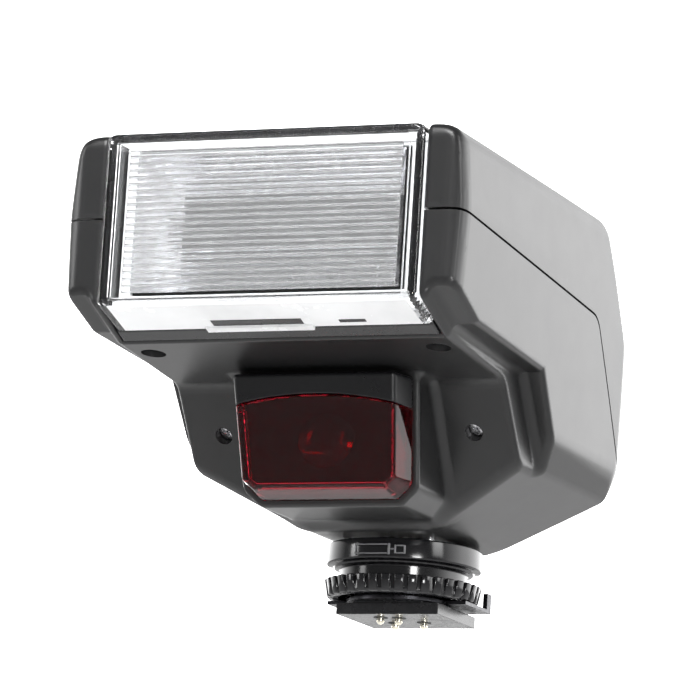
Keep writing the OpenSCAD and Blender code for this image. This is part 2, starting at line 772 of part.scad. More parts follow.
module battery_door() {
    knuckle_low = [door_z[0], door_z[1] - knuckle_l];
    color(grey) {
        difference() {
            union() {
                block([door_face_x, door_y[0], door_z[0]], [door_face_x + door_t, door_y[1], door_z[1]]);
                for (z = knuckle_low) {
                    translate([hinge_x, hinge_y, z]) cylinder(r = hinge_r, h = knuckle_l);
                    block([door_face_x, door_y[1] - overlap, z],
                        [door_face_x + door_t - 0.2, hinge_y, z + knuckle_l]);
                }
                for (i = [0 : 4]) translate([door_face_x, door_y[0] + 3 + 1.4 * i, cell_z])
                    block([-0.3, 0, -4], [overlap, 0.7, 4]);
            }
            translate([hinge_x, hinge_y, 0]) cylinder(r = hinge_pin_r + run_gap, h = big);
        }
        block([door_face_x + door_t - overlap, door_y[0] + 1.5, cell_z - 3],
            [door_face_x + door_t + 0.35, door_y[1] - 4, cell_z + 3]);
    }
}
module door_hinge_pin() color(steel) translate([hinge_x, hinge_y, door_z[0] + move_gap])
    cylinder(r = hinge_pin_r, h = door_z[1] - door_z[0] - 2 * move_gap);

// ================= controls =================
module control_board() color(board_green) on_slant(0, 0, control_gap + board_t)
    mid_block([50, 12.4, board_t], [0, 0, 0]);
module slide_switch() color(steel) on_slant(switch_x + switch_travel / 2, 0, control_gap)
    mid_block([11, 5.6, 2.2], [0, 0, overlap]);
module power_switch() {
    color(black) on_slant(switch_x, 0, control_gap - 2.3) {
        mid_block([1.6, 1.2, 2], [0, 0, 0]);
        mid_block([switch_l, switch_w, 1.3], [0, 0, 1.6]);
        for (i = [-2 : 2]) mid_block([0.5, switch_w, 0.5], [i * 1.1, 0, 2.85]);
    }
}
module test_switch() color(black) on_slant(button_x, 0, control_gap) {
    mid_block([6, 6, 1], [0, 0, overlap]);
    cylinder(r = 0.9, h = 1.3);
}
module test_button() {
    color(black) on_slant(button_x, 0, 0) {
        difference() {
            translate([0, 0, -2]) cylinder(r = button_r, h = 2.5);
            translate([0, 0, 2.6]) sphere(r = 2.6);
        }
        translate([0, 0, -2.2]) cylinder(r = 0.8, h = 0.3);
    }
}
spring_r = 1.7;
module button_spring() {
    color(steel) on_slant(button_x, 0, control_gap - 1.03) coil(spring_r, 0.15, 1.5, 3);
}
module ready_lamp() {
    stem = control_gap - 0.6;
    color([0.9, 0.45, 0.1, 0.8]) on_slant(lamp_x, 0, control_gap) {
        cylinder(r = lamp_r, h = stem);
        translate([0, 0, stem - overlap]) intersection() {
            cylinder(r = lamp_r, h = 1.2);
            translate([0, 0, -0.3]) sphere(r = lamp_r);
        }
    }
}

// ================= neck and foot =================
module neck_collar() {
    color(grey) difference() {
        translate([0, seat_y, 0]) union() {
            translate([0, 0, collar_low_z + 0.3]) cylinder(r = collar_r, h = floor_z - collar_low_z - 0.3);
            translate([0, 0, collar_low_z]) cylinder(r = collar_r - 1.3, h = 1);
            translate([0, 0, neck_top_z]) cylinder(r = spigot_r, h = collar_low_z - neck_top_z + 1, $fn = 96);
        }
        translate([0, seat_y, 0]) cylinder(r = wire_bore_r, h = big);
        at_neck_screws() translate([0, 0, floor_z - 3.2]) cylinder(r = 0.8, h = 5);
        at_foot_screws() {
            cylinder(r = 0.9, h = big);
            translate([0, 0, floor_z - foot_screw_sink]) cylinder(r = 1.8, h = big);
        }
    }
}
module neck_screws() {
    color(steel) translate([0, 0, floor_z + wall]) at_neck_screws() screw(0.8, 4.8, 1.7, 1.1);
}
module foot_screws() {
    seat_z = floor_z - foot_screw_sink;
    color(steel) translate([0, 0, seat_z]) at_foot_screws() screw(0.8, seat_z - foot_t - 0.6, 1.6, 1);
}

module pin_sockets() {
    for (p = pin_spots) translate([p[0], p[1], 0]) {
        translate([0, 0, -1]) cylinder(r = pin_r + run_gap, h = big / 10);
        translate([0, 0, pin_flange_z]) cylinder(r = pin_flange_r + run_gap + 0.05, h = big / 10);
    }
}
module shoe_foot() {
    color(steel) difference() {
        union() {
            block([-foot_w / 2, -foot_l / 2, 0], [foot_w / 2, foot_l / 2, foot_t]);
            mid_block([foot_neck_w, foot_neck_w, neck_top_z - foot_t + overlap],
                [0, seat_y, foot_t - overlap]);
        }
        pin_sockets();
        mid_block([2 * contact_board_half + 0.2, 2 * contact_board_half + 0.2, 2],
            [0, seat_y, contact_board_z]);
        at_foot_screws() translate([0, 0, foot_t + 0.3]) cylinder(r = 0.8, h = 5);
    }
}
module foot_contact_board() {
    color(board_green) difference() {
        mid_block([2 * contact_board_half, 2 * contact_board_half, contact_board_t - 0.02],
            [0, seat_y, contact_board_z]);
        at_foot_screws() cylinder(r = 1.1, h = big);
    }
}
module foot_leads() {
    shelf_z = case_low_z - 4;
    y = case_front_y - 3.5;
    color(red) for (i = [0 : 3]) {
        x = 1.7 * (i - 1.5);
        wire([[x, seat_y, neck_top_z], [x, seat_y, shelf_z], [x, y, shelf_z], [x, y, main_board_z]], lead_r);
    }
}

module contact_pin(i) {
    p = pin_spots[i];
    color(gold) translate([p[0], p[1], 0]) {
        translate([0, 0, pin_r - pin_out]) {
            cylinder(r = pin_r, h = pin_flange_z + pin_out - pin_r + 0.1);
            sphere(r = pin_r);
        }
        translate([0, 0, pin_flange_z + 0.02]) cylinder(r = pin_flange_r, h = pin_flange_t - 0.02);
    }
}
module contact_spring(i) {
    p = pin_spots[i];
    color(steel) translate([p[0], p[1], spring_low_z + 0.01])
        coil(0.78, 0.12, contact_board_z - spring_low_z - 0.02, 4);
}
module contact_pin_1() contact_pin(0);
module contact_pin_2() contact_pin(1);
module contact_pin_3() contact_pin(2);
module contact_pin_4() contact_pin(3);
module contact_spring_1() contact_spring(0);
module contact_spring_2() contact_spring(1);
module contact_spring_3() contact_spring(2);
module contact_spring_4() contact_spring(3);

plate_half_w = 12.7;
plate_y = [-4.5, 6.8];
ear_h = 2.7;
module pressure_plate() {
    low = foot_t + plate_gap;
    ear_y = 5;
    hole_w = foot_neck_w + 2 * run_gap + 0.1;
    color(steel) difference() {
        union() {
            block([-plate_half_w, plate_y[0], low], [plate_half_w, plate_y[1], low + plate_t]);
            translate([0, seat_y, low]) cylinder(r = foot_neck_w / 2 + 3.2, h = plate_t);
            both_sides()
                block([plate_half_w - 0.8, ear_y, low], [plate_half_w, plate_y[1], low + plate_t + ear_h]);
        }
        mid_block([hole_w, hole_w, big], [0, seat_y, 0]);
    }
}

module lock_wheel() {
    tooth = 360 / wheel_teeth;
    root_r = wheel_r - 0.7;
    flank = [[0.0, root_r], [0.18, wheel_r], [0.56, wheel_r], [0.74, root_r]];
    outline = [for (i = [0 : wheel_teeth - 1]) for (k = flank)
        k[1] * [cos(tooth * (i + k[0])), sin(tooth * (i + k[0]))]];
    bevel = 0.7;
    rim_r = wheel_r + 0.1;
    color(black) translate([0, seat_y, wheel_low_z]) difference() {
        intersection() {
            linear_extrude(wheel_t) polygon(outline);
            rotate_extrude($fn = 96) polygon([[0, 0], [wheel_r - bevel, 0], [rim_r, bevel + 0.1],
                [rim_r, wheel_t - 0.3], [wheel_r - 0.4, wheel_t], [0, wheel_t]]);
        }
        translate([0, 0, -1]) cylinder(r = spigot_r + run_gap, h = wheel_t + 2, $fn = 96);
    }
}

head_screw_r = 0.9;
module head_screws() color(steel) at_head_screws() screw(head_screw_r, 3.8, 1.9, 1.1);
module case_screws() color(steel) at_case_screws() translate([0, 0, -case_screw_sink]) screw(0.8, 4, 1.35, 0.9);

front_shell();
rear_shell();
lens_bezel();
flash_lens();
reflector();
reflector_carrier();
flash_tube();
tube_boots();
tube_leads();
af_window();
af_nameplate();
af_led();
af_led_lens();
af_board();
main_capacitor();
capacitor_strap();
main_board();
power_board();
board_parts();
transformer();
trigger_coil();
battery_case();
battery_contacts();
aa_cells();
battery_door();
door_hinge_pin();
rear_plate();
control_board();
power_switch();
slide_switch();
test_button();
test_switch();
button_spring();
ready_lamp();
neck_collar();
neck_screws();
shoe_foot();
foot_screws();
foot_contact_board();
foot_leads();
contact_pin_1();
contact_pin_2();
contact_pin_3();
contact_pin_4();
contact_spring_1();
contact_spring_2();
contact_spring_3();
contact_spring_4();
pressure_plate();
lock_wheel();
head_screws();
case_screws();
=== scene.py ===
"""Compact shoe-mount speedlight flash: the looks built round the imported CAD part.

Lengths are millimetres until a mesh is made, and metres in the scene.
"""
import json
import math
import bpy
import bmesh
import numpy as np
from mathutils import Matrix, Vector


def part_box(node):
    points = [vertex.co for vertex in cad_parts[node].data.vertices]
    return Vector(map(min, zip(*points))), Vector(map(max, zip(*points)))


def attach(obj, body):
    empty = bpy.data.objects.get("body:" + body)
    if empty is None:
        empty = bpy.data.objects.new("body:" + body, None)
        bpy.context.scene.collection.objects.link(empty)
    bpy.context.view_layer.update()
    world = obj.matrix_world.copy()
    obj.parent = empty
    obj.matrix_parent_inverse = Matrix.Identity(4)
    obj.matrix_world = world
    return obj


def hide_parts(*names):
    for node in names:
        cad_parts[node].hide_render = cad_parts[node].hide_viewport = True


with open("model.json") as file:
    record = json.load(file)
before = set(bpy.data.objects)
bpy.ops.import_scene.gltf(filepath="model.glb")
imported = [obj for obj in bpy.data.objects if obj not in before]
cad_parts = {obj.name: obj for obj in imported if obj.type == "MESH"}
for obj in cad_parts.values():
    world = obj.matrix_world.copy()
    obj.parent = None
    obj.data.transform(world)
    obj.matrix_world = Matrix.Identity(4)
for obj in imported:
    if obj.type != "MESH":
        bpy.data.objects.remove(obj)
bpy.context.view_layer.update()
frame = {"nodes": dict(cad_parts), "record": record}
MM = 0.001
scene = bpy.context.scene


def box_mm(*names):
    """Lowest and highest corner of CAD nodes in millimetres."""
    boxes = [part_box(n) for n in names]
    low = np.min([np.array(b[0]) for b in boxes], axis=0) / MM
    high = np.max([np.array(b[1]) for b in boxes], axis=0) / MM
    return low, high


# ============================== materials ==============================
def new_material(name):
    m = bpy.data.materials.new(name)
    m.use_nodes = True
    tree = m.node_tree
    tree.nodes.clear()
    out = tree.nodes.new("ShaderNodeOutputMaterial")
    shader = tree.nodes.new("ShaderNodeBsdfPrincipled")
    tree.links.new(shader.outputs["BSDF"], out.inputs["Surface"])
    return m, tree, shader, out


def object_noise(tree, size, detail=3.0, rough=0.5):
    """Noise in the piece's own space. size is the length of one blotch in millimetres."""
    where = tree.nodes.new("ShaderNodeTexCoord")
    noise = tree.nodes.new("ShaderNodeTexNoise")
    noise.inputs["Scale"].default_value = 1.0 / (size * MM)
    noise.inputs["Detail"].default_value = detail
    noise.inputs["Roughness"].default_value = rough
    tree.links.new(where.outputs["Object"], noise.inputs["Vector"])
    return noise.outputs["Fac"]


def remap(tree, value, low, high, from_low=0.3, from_high=0.7):
    n = tree.nodes.new("ShaderNodeMapRange")
    n.inputs["From Min"].default_value = from_low
    n.inputs["From Max"].default_value = from_high
    n.inputs["To Min"].default_value = low
    n.inputs["To Max"].default_value = high
    tree.links.new(value, n.inputs["Value"])
    return n.outputs["Result"]


def blend_colour(tree, factor, a, b):
    n = tree.nodes.new("ShaderNodeMix")
    n.data_type = "RGBA"
    n.inputs["A"].default_value = (*a, 1.0)
    n.inputs["B"].default_value = (*b, 1.0)
    tree.links.new(factor, n.inputs["Factor"])
    return n.outputs["Result"]


def edge_wear_and_highlight(tree, shader, colour, worn_and_lit, amount=0.35):
    """Convex edges take a slightly lighter tone: partly polish from wear, partly a painted highlight along
    the ridges.
    """
    geometry = tree.nodes.new("ShaderNodeNewGeometry")
    # Pointiness lightens convex edges in patches: part wear, part painted highlight along the ridges.
    sharp = remap(tree, geometry.outputs["Pointiness"], 0.0, amount, 0.52, 0.62)
    patches = remap(tree, object_noise(tree, 3.0, 4.0), 0.2, 1.0)
    both = tree.nodes.new("ShaderNodeMath")
    both.operation = "MULTIPLY"
    tree.links.new(sharp, both.inputs[0])
    tree.links.new(patches, both.inputs[1])
    n = tree.nodes.new("ShaderNodeMix")
    n.data_type = "RGBA"
    tree.links.new(both.outputs["Value"], n.inputs["Factor"])
    if isinstance(colour, tuple):
        n.inputs["A"].default_value = (*colour, 1.0)
    else:
        tree.links.new(colour, n.inputs["A"])
    n.inputs["B"].default_value = (*worn_and_lit, 1.0)
    tree.links.new(n.outputs["Result"], shader.inputs["Base Color"])


def surface_bump(tree, shader, layers, rounding=0.0):
    """Fine relief from noise layers of (size, strength, depth), over edges rounded by the shader."""
    last = None
    if rounding:
        bevel = tree.nodes.new("ShaderNodeBevel")
        bevel.samples = 4
        bevel.inputs["Radius"].default_value = rounding * MM
        last = bevel.outputs["Normal"]
    for size, strength, depth in layers:
        bump = tree.nodes.new("ShaderNodeBump")
        bump.inputs["Strength"].default_value = strength
        bump.inputs["Distance"].default_value = depth * MM
        tree.links.new(object_noise(tree, size, 2.0), bump.inputs["Height"])
        if last is not None:
            tree.links.new(last, bump.inputs["Normal"])
        last = bump.outputs["Normal"]
    if last is not None:
        tree.links.new(last, shader.inputs["Normal"])


def plastic(name, colour, roughness, grain=0.12, spread=0.05, worn_and_lit=None, rounding=0.0, specular=0.5):
    """Moulded plastic with slightly uneven tone and gloss, a fine grain, and edges lightened partly as wear
    and partly as a painted highlight.
    """
    m, tree, shader, _ = new_material(name)
    tone = remap(tree, object_noise(tree, 14.0), 0.0, 1.0)
    tint = blend_colour(tree, tone, tuple(c * 0.9 for c in colour), tuple(min(1.0, c * 1.12) for c in colour))
    edge_wear_and_highlight(tree, shader, tint, worn_and_lit or tuple(min(1.0, c * 2.2 + 0.01) for c in colour))
    gloss = remap(tree, object_noise(tree, 5.0, 5.0, 0.6), roughness - spread, roughness + spread)
    tree.links.new(gloss, shader.inputs["Roughness"])
    shader.inputs["Specular IOR Level"].default_value = specular
    surface_bump(tree, shader, [(0.25, grain, 0.02)], rounding)
    return m


def metal(name, colour, roughness, rounding=0.0, scratch=0.1):
    m, tree, shader, _ = new_material(name)
    shader.inputs["Metallic"].default_value = 1.0
    tone = remap(tree, object_noise(tree, 2.5, 4.0), 0.0, 1.0)
    tint = blend_colour(tree, tone, tuple(c * 0.82 for c in colour), colour)
    tree.links.new(tint, shader.inputs["Base Color"])
    gloss = remap(tree, object_noise(tree, 1.0, 5.0), roughness * 0.7, roughness * 1.4)
    tree.links.new(gloss, shader.inputs["Roughness"])
    surface_bump(tree, shader, [(0.4, scratch, 0.02)], rounding)
    return m


def see_through(name, colour, roughness, ior=1.49, shade=(0.9, 0.9, 0.9), grain=0.02, haze=0.0):
    """Clear or tinted moulded acrylic. Light passes it for shadows, so what is inside is lit."""
    m, tree, shader, out = new_material(name)
    shader.inputs["Base Color"].default_value = (*colour, 1.0)
    shader.inputs["Transmission Weight"].default_value = 1.0 - haze
    shader.inputs["IOR"].default_value = ior
    gloss = remap(tree, object_noise(tree, 6.0, 4.0), roughness * 0.5, roughness * 1.6)
    tree.links.new(gloss, shader.inputs["Roughness"])
    if grain:
        surface_bump(tree, shader, [(2.2, grain, 0.05)])
    clear = tree.nodes.new("ShaderNodeBsdfTransparent")
    clear.inputs["Color"].default_value = (*shade, 1.0)
    path = tree.nodes.new("ShaderNodeLightPath")
    mix = tree.nodes.new("ShaderNodeMixShader")
    tree.links.new(path.outputs["Is Shadow Ray"], mix.inputs["Fac"])
    tree.links.new(shader.outputs["BSDF"], mix.inputs[1])
    tree.links.new(clear.outputs["BSDF"], mix.inputs[2])
    tree.links.new(mix.outputs["Shader"], out.inputs["Surface"])
    return m


def circuit_board(name):
    m, tree, shader, _ = new_material(name)
    where = tree.nodes.new("ShaderNodeTexCoord")
    tracks = tree.nodes.new("ShaderNodeTexBrick")
    tracks.inputs["Scale"].default_value = 420.0
    tracks.inputs["Mortar Size"].default_value = 0.03
    tracks.inputs["Color1"].default_value = (0.02, 0.13, 0.05, 1.0)
    tracks.inputs["Color2"].default_value = (0.03, 0.17, 0.07, 1.0)
    tracks.inputs["Mortar"].default_value = (0.07, 0.3, 0.12, 1.0)
    tree.links.new(where.outputs["Object"], tracks.inputs["Vector"])
    tree.links.new(tracks.outputs["Color"], shader.inputs["Base Color"])
    tree.links.new(remap(tree, object_noise(tree, 4.0), 0.2, 0.4), shader.inputs["Roughness"])
    surface_bump(tree, shader, [(1.2, 0.2, 0.05)])
    return m


def winding(name):
    m, tree, shader, _ = new_material(name)
    shader.inputs["Metallic"].default_value = 0.8
    where = tree.nodes.new("ShaderNodeTexCoord")
    turns = tree.nodes.new("ShaderNodeTexWave")
    turns.bands_direction = "Z"
    turns.inputs["Scale"].default_value = 900.0
    turns.inputs["Distortion"].default_value = 0.4
    tree.links.new(where.outputs["Object"], turns.inputs["Vector"])
    tint = blend_colour(tree, turns.outputs["Fac"], (0.28, 0.1, 0.03), (0.62, 0.28, 0.1))
    tree.links.new(tint, shader.inputs["Base Color"])
    bump = tree.nodes.new("ShaderNodeBump")
    bump.inputs["Strength"].default_value = 0.5
    bump.inputs["Distance"].default_value = 0.1 * MM
    tree.links.new(turns.outputs["Fac"], bump.inputs["Height"])
    tree.links.new(bump.outputs["Normal"], shader.inputs["Normal"])
    tree.links.new(remap(tree, object_noise(tree, 3.0), 0.3, 0.5), shader.inputs["Roughness"])
    return m


# worn_and_lit sets the edge tone: part wear colour, part painted highlight.
casing_black = plastic("casing_black", (0.012, 0.012, 0.0125), 0.33, grain=0.07, spread=0.012,
                       worn_and_lit=(0.03, 0.03, 0.032), specular=0.45)
moulded_black = plastic("moulded_black", (0.01, 0.01, 0.011), 0.26, grain=0.06, rounding=0.2)
gloss_black = plastic("gloss_black", (0.006, 0.006, 0.007), 0.14, grain=0.03, rounding=0.15)
plate_black = plastic("plate_black", (0.005, 0.005, 0.006), 0.3, grain=0.04, specular=0.35)
frosted_white = plastic("frosted_white", (0.86, 0.87, 0.88), 0.25, grain=0.05, spread=0.04,
                        worn_and_lit=(0.95, 0.95, 0.95))
grey_lining = plastic("grey_lining", (0.6, 0.6, 0.61), 0.3, grain=0.05)
clear_acrylic = see_through("clear_acrylic", (0.99, 0.995, 1.0), 0.03, grain=0.003)
rib_acrylic = see_through("rib_acrylic", (0.99, 0.995, 1.0), 0.05, grain=0.0, haze=0.06)
red_acrylic = see_through("red_acrylic", (0.5, 0.004, 0.02), 0.02, ior=1.36, shade=(0.6, 0.02, 0.04),
                          grain=0.0)
bright_reflector = metal("bright_reflector", (0.95, 0.95, 0.97), 0.2, scratch=0.02)
plated_steel = metal("plated_steel", (0.72, 0.72, 0.74), 0.2, rounding=0.12)
gold_plate = metal("gold_plate", (0.97, 0.92, 0.78), 0.12, rounding=0.1)
black_steel = metal("black_steel", (0.05, 0.05, 0.055), 0.3, rounding=0.1)
# Lighter grey for the collar mark's raised lines stands for the light they catch: a painted highlight.
mark_highlight_grey = plastic("mark_highlight_grey", (0.13, 0.13, 0.135), 0.2, grain=0.03, spread=0.02)
lead_red = plastic("lead_red", (0.35, 0.015, 0.012), 0.4)
rubber_black = plastic("rubber_black", (0.02, 0.02, 0.02), 0.7, grain=0.3)
sleeve_black = plastic("sleeve_black", (0.012, 0.012, 0.02), 0.22)
cell_grey = plastic("cell_grey", (0.12, 0.12, 0.14), 0.25)
epoxy_black = plastic("epoxy_black", (0.02, 0.02, 0.02), 0.5, grain=0.3)
amber = see_through("amber", (0.9, 0.35, 0.05), 0.08, shade=(0.9, 0.4, 0.1))
led_red = see_through("led_red", (0.7, 0.02, 0.03), 0.08, shade=(0.6, 0.05, 0.05), haze=0.3)
board_green = circuit_board("board_green")
copper_wire = winding("copper_wire")
slot_materials = {
    "casing_plastic": casing_black, "black_plastic": moulded_black, "gloss_black": plate_black,
    "clear_lens": clear_acrylic, "red_window": led_red, "mirror_metal": bright_reflector,
    "tube_glass": clear_acrylic, "soft_rubber": rubber_black, "wire_cover": lead_red,
    "capacitor_sleeve": sleeve_black, "zinc_steel": plated_steel, "board": board_green,
    "component_black": epoxy_black, "copper_winding": copper_wire, "cell_wrap": cell_grey,
    "lamp_amber": amber, "gold_contact": gold_plate,
}
for row in frame["record"]["subparts"]:
    mesh = frame["nodes"][row["node"]].data
    mesh.materials.clear()
    mesh.materials.append(slot_materials[row["material_slot"]])
frame["nodes"]["pressure_plate"].data.materials[0] = black_steel


# ============================== smooth forms ==============================
def outline_distance(u, v, outline):
    """Signed distance from (u, v) to a closed outline, below zero inside."""
    pts = np.asarray(outline, np.float64)
    best = None
    crossings = None
    for (ax, ay), (bx, by) in zip(pts, np.roll(pts, -1, axis=0)):
        ex, ey = bx - ax, by - ay
        wx, wy = u - ax, v - ay
        t = np.clip((wx * ex + wy * ey) / (ex * ex + ey * ey + 1e-12), 0.0, 1.0)
        d = (wx - t * ex) ** 2 + (wy - t * ey) ** 2
        flip = ((ay <= v) != (by <= v)) & (ex * wy - ey * wx > 0) == (by > ay)
        flip = flip & ((ay <= v) != (by <= v))
        best = d if best is None else np.minimum(best, d)
        crossings = flip if crossings is None else crossings ^ flip
    return np.where(crossings, -1.0, 1.0) * np.sqrt(best)


def rounded_outline(corners, radii, steps=8):
    """The outline with each corner turned into an arc."""
    pts = [np.array(p, float) for p in corners]
    out = []
    for i, b in enumerate(pts):
        a, c = pts[i - 1], pts[(i + 1) % len(pts)]
        u, v = (a - b) / np.linalg.norm(a - b), (c - b) / np.linalg.norm(c - b)
        half = math.acos(max(-1.0, min(1.0, float(u @ v)))) / 2
        r = max(radii[i], 0.05)
        centre = b + (u + v) / np.linalg.norm(u + v) * r / math.sin(half)
        p, q = b + u * r / math.tan(half) - centre, b + v * r / math.tan(half) - centre
        start = math.atan2(p[1], p[0])
        sweep = (math.atan2(q[1], q[0]) - start + 3 * math.pi) % (2 * math.pi) - math.pi
        for k in range(steps + 1):
            turn = start + sweep * k / steps
            out.append(centre + r * np.array([math.cos(turn), math.sin(turn)]))
    return out


def mirrored(half):
    """The whole outline from its right half."""
    return list(half) + [(-x, z) for x, z in reversed(list(half))]


def both_ways(values):
    return list(values) + list(reversed(values))


def joined(fields, r):
    """Solid where all the fields are solid, with outward edges rounded by r."""
    total, top = 0.0, None
    for f in fields:
        top = f if top is None else np.maximum(top, f)
        total = total + np.maximum(f + r, 0.0) ** 2
    return np.sqrt(total) + np.minimum(top + r, 0.0) - r


def added(a, b, r):
    """Both solids together, with the inward corner between them filled by radius r."""
    return -joined([-a, -b], r)


def without(a, b, r):
    """a with b cut out of it, with the new edges rounded by r."""
    return joined([a, -b], r)


def slab(value, low, high):
    """Solid between two planes."""
    return np.maximum(low - value, value - high)


def gradient(field, p, e=0.03):
    """The direction in which a field rises at each point."""
    g = np.empty_like(p)
    for k in range(3):
        d = np.zeros(3)
        d[k] = e
        g[:, k] = (field(*(p + d).T) - field(*(p - d).T)) / (2 * e)
    return g


def skin(field, low, high, step):
    """Quads over the zero surface of a field, their corners drawn on to it. Returns points and quads."""
    axes = [np.arange(low[k], high[k] + step, step) for k in range(3)]
    f = field(axes[0][:, None, None], axes[1][None, :, None], axes[2][None, None, :]).astype(np.float32)
    f = np.broadcast_to(f, [len(a) for a in axes])
    solid = f < 0
    n = [s - 1 for s in f.shape]
    count = np.zeros(n, np.int8)
    corners = [(i, j, k) for i in (0, 1) for j in (0, 1) for k in (0, 1)]
    for i, j, k in corners:
        count += solid[i:i + n[0], j:j + n[1], k:k + n[2]]
    cells = np.argwhere((count > 0) & (count < 8))
    number = np.full(n, -1, np.int32)
    number[tuple(cells.T)] = np.arange(len(cells))
    values = {c: f[tuple((cells + c).T)].astype(np.float64) for c in corners}
    total, hits = np.zeros((len(cells), 3)), np.zeros(len(cells))
    for a in corners:
        for axis in range(3):
            if a[axis]:
                continue
            b = tuple(1 if k == axis else a[k] for k in range(3))
            va, vb = values[a], values[b]
            cross = (va < 0) != (vb < 0)
            t = np.where(cross, va / np.where(cross, va - vb, 1.0), 0.0)
            at = np.repeat(np.array(a, float)[None], len(cells), axis=0)
            at[:, axis] += t
            total += at * cross[:, None]
            hits += cross
    p = (cells + total / hits[:, None]) * step + np.array([a[0] for a in axes])
    quads = []
    for axis in range(3):
        u, v = (axis + 1) % 3, (axis + 2) % 3
        lead = [slice(None)] * 3
        lag = [slice(None)] * 3
        lead[axis], lag[axis] = slice(1, None), slice(None, -1)
        change = solid[tuple(lead)] != solid[tuple(lag)]
        edge = np.argwhere(change)
        edge = edge[(edge[:, u] > 0) & (edge[:, v] > 0) & (edge[:, u] < n[u]) & (edge[:, v] < n[v])]
        around = []
        for du, dv in ((1, 1), (0, 1), (0, 0), (1, 0)):
            c = edge.copy()
            c[:, u] -= du
            c[:, v] -= dv
            around.append(number[tuple(c.T)])
        q = np.stack(around, axis=1)
        outward = solid[tuple(edge.T)]
        q[~outward] = q[~outward][:, ::-1]
        quads.append(q)
    for _ in range(4):
        g = gradient(field, p)
        move = (field(*p.T) / np.maximum((g * g).sum(1), 0.2))[:, None] * g
        length = np.linalg.norm(move, axis=1, keepdims=True)
        p = p - move * np.minimum(1.0, 0.4 * step / np.maximum(length, 1e-9))
    return p, np.concatenate(quads)


def trimmed(p, tris, keep):
    """Cuts triangles along the line where keep(points) is zero, and keeps the side above zero."""
    value = keep(*p.T)
    value = np.where(np.abs(value) < 1e-9, 1e-9, value)
    inside = value > 0
    n_in = inside[tris].sum(1)
    whole = tris[n_in == 3]
    points, extra, seen = list(), {}, len(p)

    def cut(a, b):
        nonlocal seen
        key = (a, b) if a < b else (b, a)
        if key not in extra:
            t = value[key[0]] / (value[key[0]] - value[key[1]])
            points.append(p[key[0]] + t * (p[key[1]] - p[key[0]]))
            extra[key] = seen
            seen += 1
        return extra[key]

    new = []
    for tri in tris[(n_in == 1) | (n_in == 2)]:
        a, b, c = (int(i) for i in tri)
        while not (inside[a] and not inside[c]):
            a, b, c = b, c, a
        if inside[b]:
            bc, ca = cut(b, c), cut(c, a)
            new += [(a, b, bc), (a, bc, ca)]
        else:
            new.append((a, cut(a, b), cut(c, a)))
    if points:
        p = np.concatenate([p, np.array(points)])
        whole = np.concatenate([whole, np.array(new, int)])
    used, index = np.unique(whole, return_inverse=True)
    return p[used], index.reshape(-1, 3)


def as_tris(quads):
    return np.concatenate([quads[:, [0, 1, 2]], quads[:, [0, 2, 3]]])


def rims(p, tris, inward, depth_at):
    """Walls that run inwards from the open edges, so that a cut skin shows its thickness."""
    edges = np.concatenate([tris[:, [0, 1]], tris[:, [1, 2]], tris[:, [2, 0]]])
    key = np.sort(edges, axis=1)
    _, first, times = np.unique(key, axis=0, return_index=True, return_counts=True)
    rim = edges[first[times == 1]]
    ends, index = np.unique(rim, return_inverse=True)
    rim = index.reshape(-1, 2)
    top = p[ends]
    low = top - inward[ends] * depth_at(*top.T)[:, None]
    n = len(ends)
    pts = np.concatenate([top, low])
    faces = np.concatenate([np.stack([rim[:, 1], rim[:, 0], rim[:, 0] + n], 1),
                            np.stack([rim[:, 1], rim[:, 0] + n, rim[:, 1] + n], 1)])
    return pts, faces


def to_object(name, parts, material, body, nodes=()):
    """Makes one piece from (points, faces, normals or None) parts. Parts without normals are shaded flat."""
    points, faces, normals, smooth = [], [], [], []
    base = 0
    for pts, fs, nrm in parts:
        points.append(pts)
        faces += [tuple(int(i) + base for i in f) for f in fs]
        smooth += [nrm is not None] * len(fs)
        normals.append(nrm if nrm is not None else np.zeros_like(pts))
        base += len(pts)
    points, normals = np.concatenate(points), np.concatenate(normals)
    mesh = bpy.data.meshes.new(name)
    mesh.from_pydata((points * MM).tolist(), [], faces)
    mesh.polygons.foreach_set("use_smooth", smooth)
    mesh.materials.append(material)
    if any(nrm is not None for _, _, nrm in parts):
        mesh.normals_split_custom_set_from_vertices(normals.tolist())
    mesh.update()
    o = bpy.data.objects.new(name, mesh)
    scene.collection.objects.link(o)
    return settle(o, body, nodes)


def settle(o, body, nodes=()):
    """Puts a finished piece on its body and the CAD nodes that it stands in for."""
    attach(o, body)
    if nodes:
        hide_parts(*nodes)
    return o


def unit_rows(v):
    return v / np.maximum(np.linalg.norm(v, axis=1, keepdims=True), 1e-9)


def form_piece(name, field, low, high, step, material, body, nodes=()):
    """A closed piece from a field."""
    p, quads = skin(field, low, high, step)
    return to_object(name, [(p, quads, unit_rows(gradient(field, p)))], material, body, nodes)


# ============================== casing ==============================
shell_low, shell_high = box_mm("front_shell", "rear_shell")
cover_low, cover_high = box_mm("flash_lens")
bezel_low, bezel_high = box_mm("lens_bezel")
cap_low, cap_high = box_mm("af_window", "af_nameplate")
front_y, rear_y = shell_low[1], shell_high[1]
floor_z, top_z = shell_low[2], shell_high[2] + 0.05
half_w = 35.5
chin_z = floor_z + 24.9
chin_l = 11.3
lens_low_z = chin_z + 4.6
slant_run, slant_top, slant_rise = 13.5, 1.5, 22.5
slant_low = slant_top + slant_rise
wing_slope = 0.71
wing_top = (front_y + 34.6, chin_z - 2.4)
wing_foot = (wing_top[0] + wing_slope * (wing_top[1] - floor_z), floor_z)
side_outline = rounded_outline(
    [(front_y, lens_low_z), (front_y + chin_l, chin_z), wing_top, wing_foot, (rear_y - 3, floor_z),
     (rear_y, floor_z + 10), (rear_y, top_z - slant_low), (rear_y - slant_run, top_z - slant_top),
     (front_y, top_z)],
    [1.2, 3, 4, 1.5, 3, 5, 4, 6, 2.5])
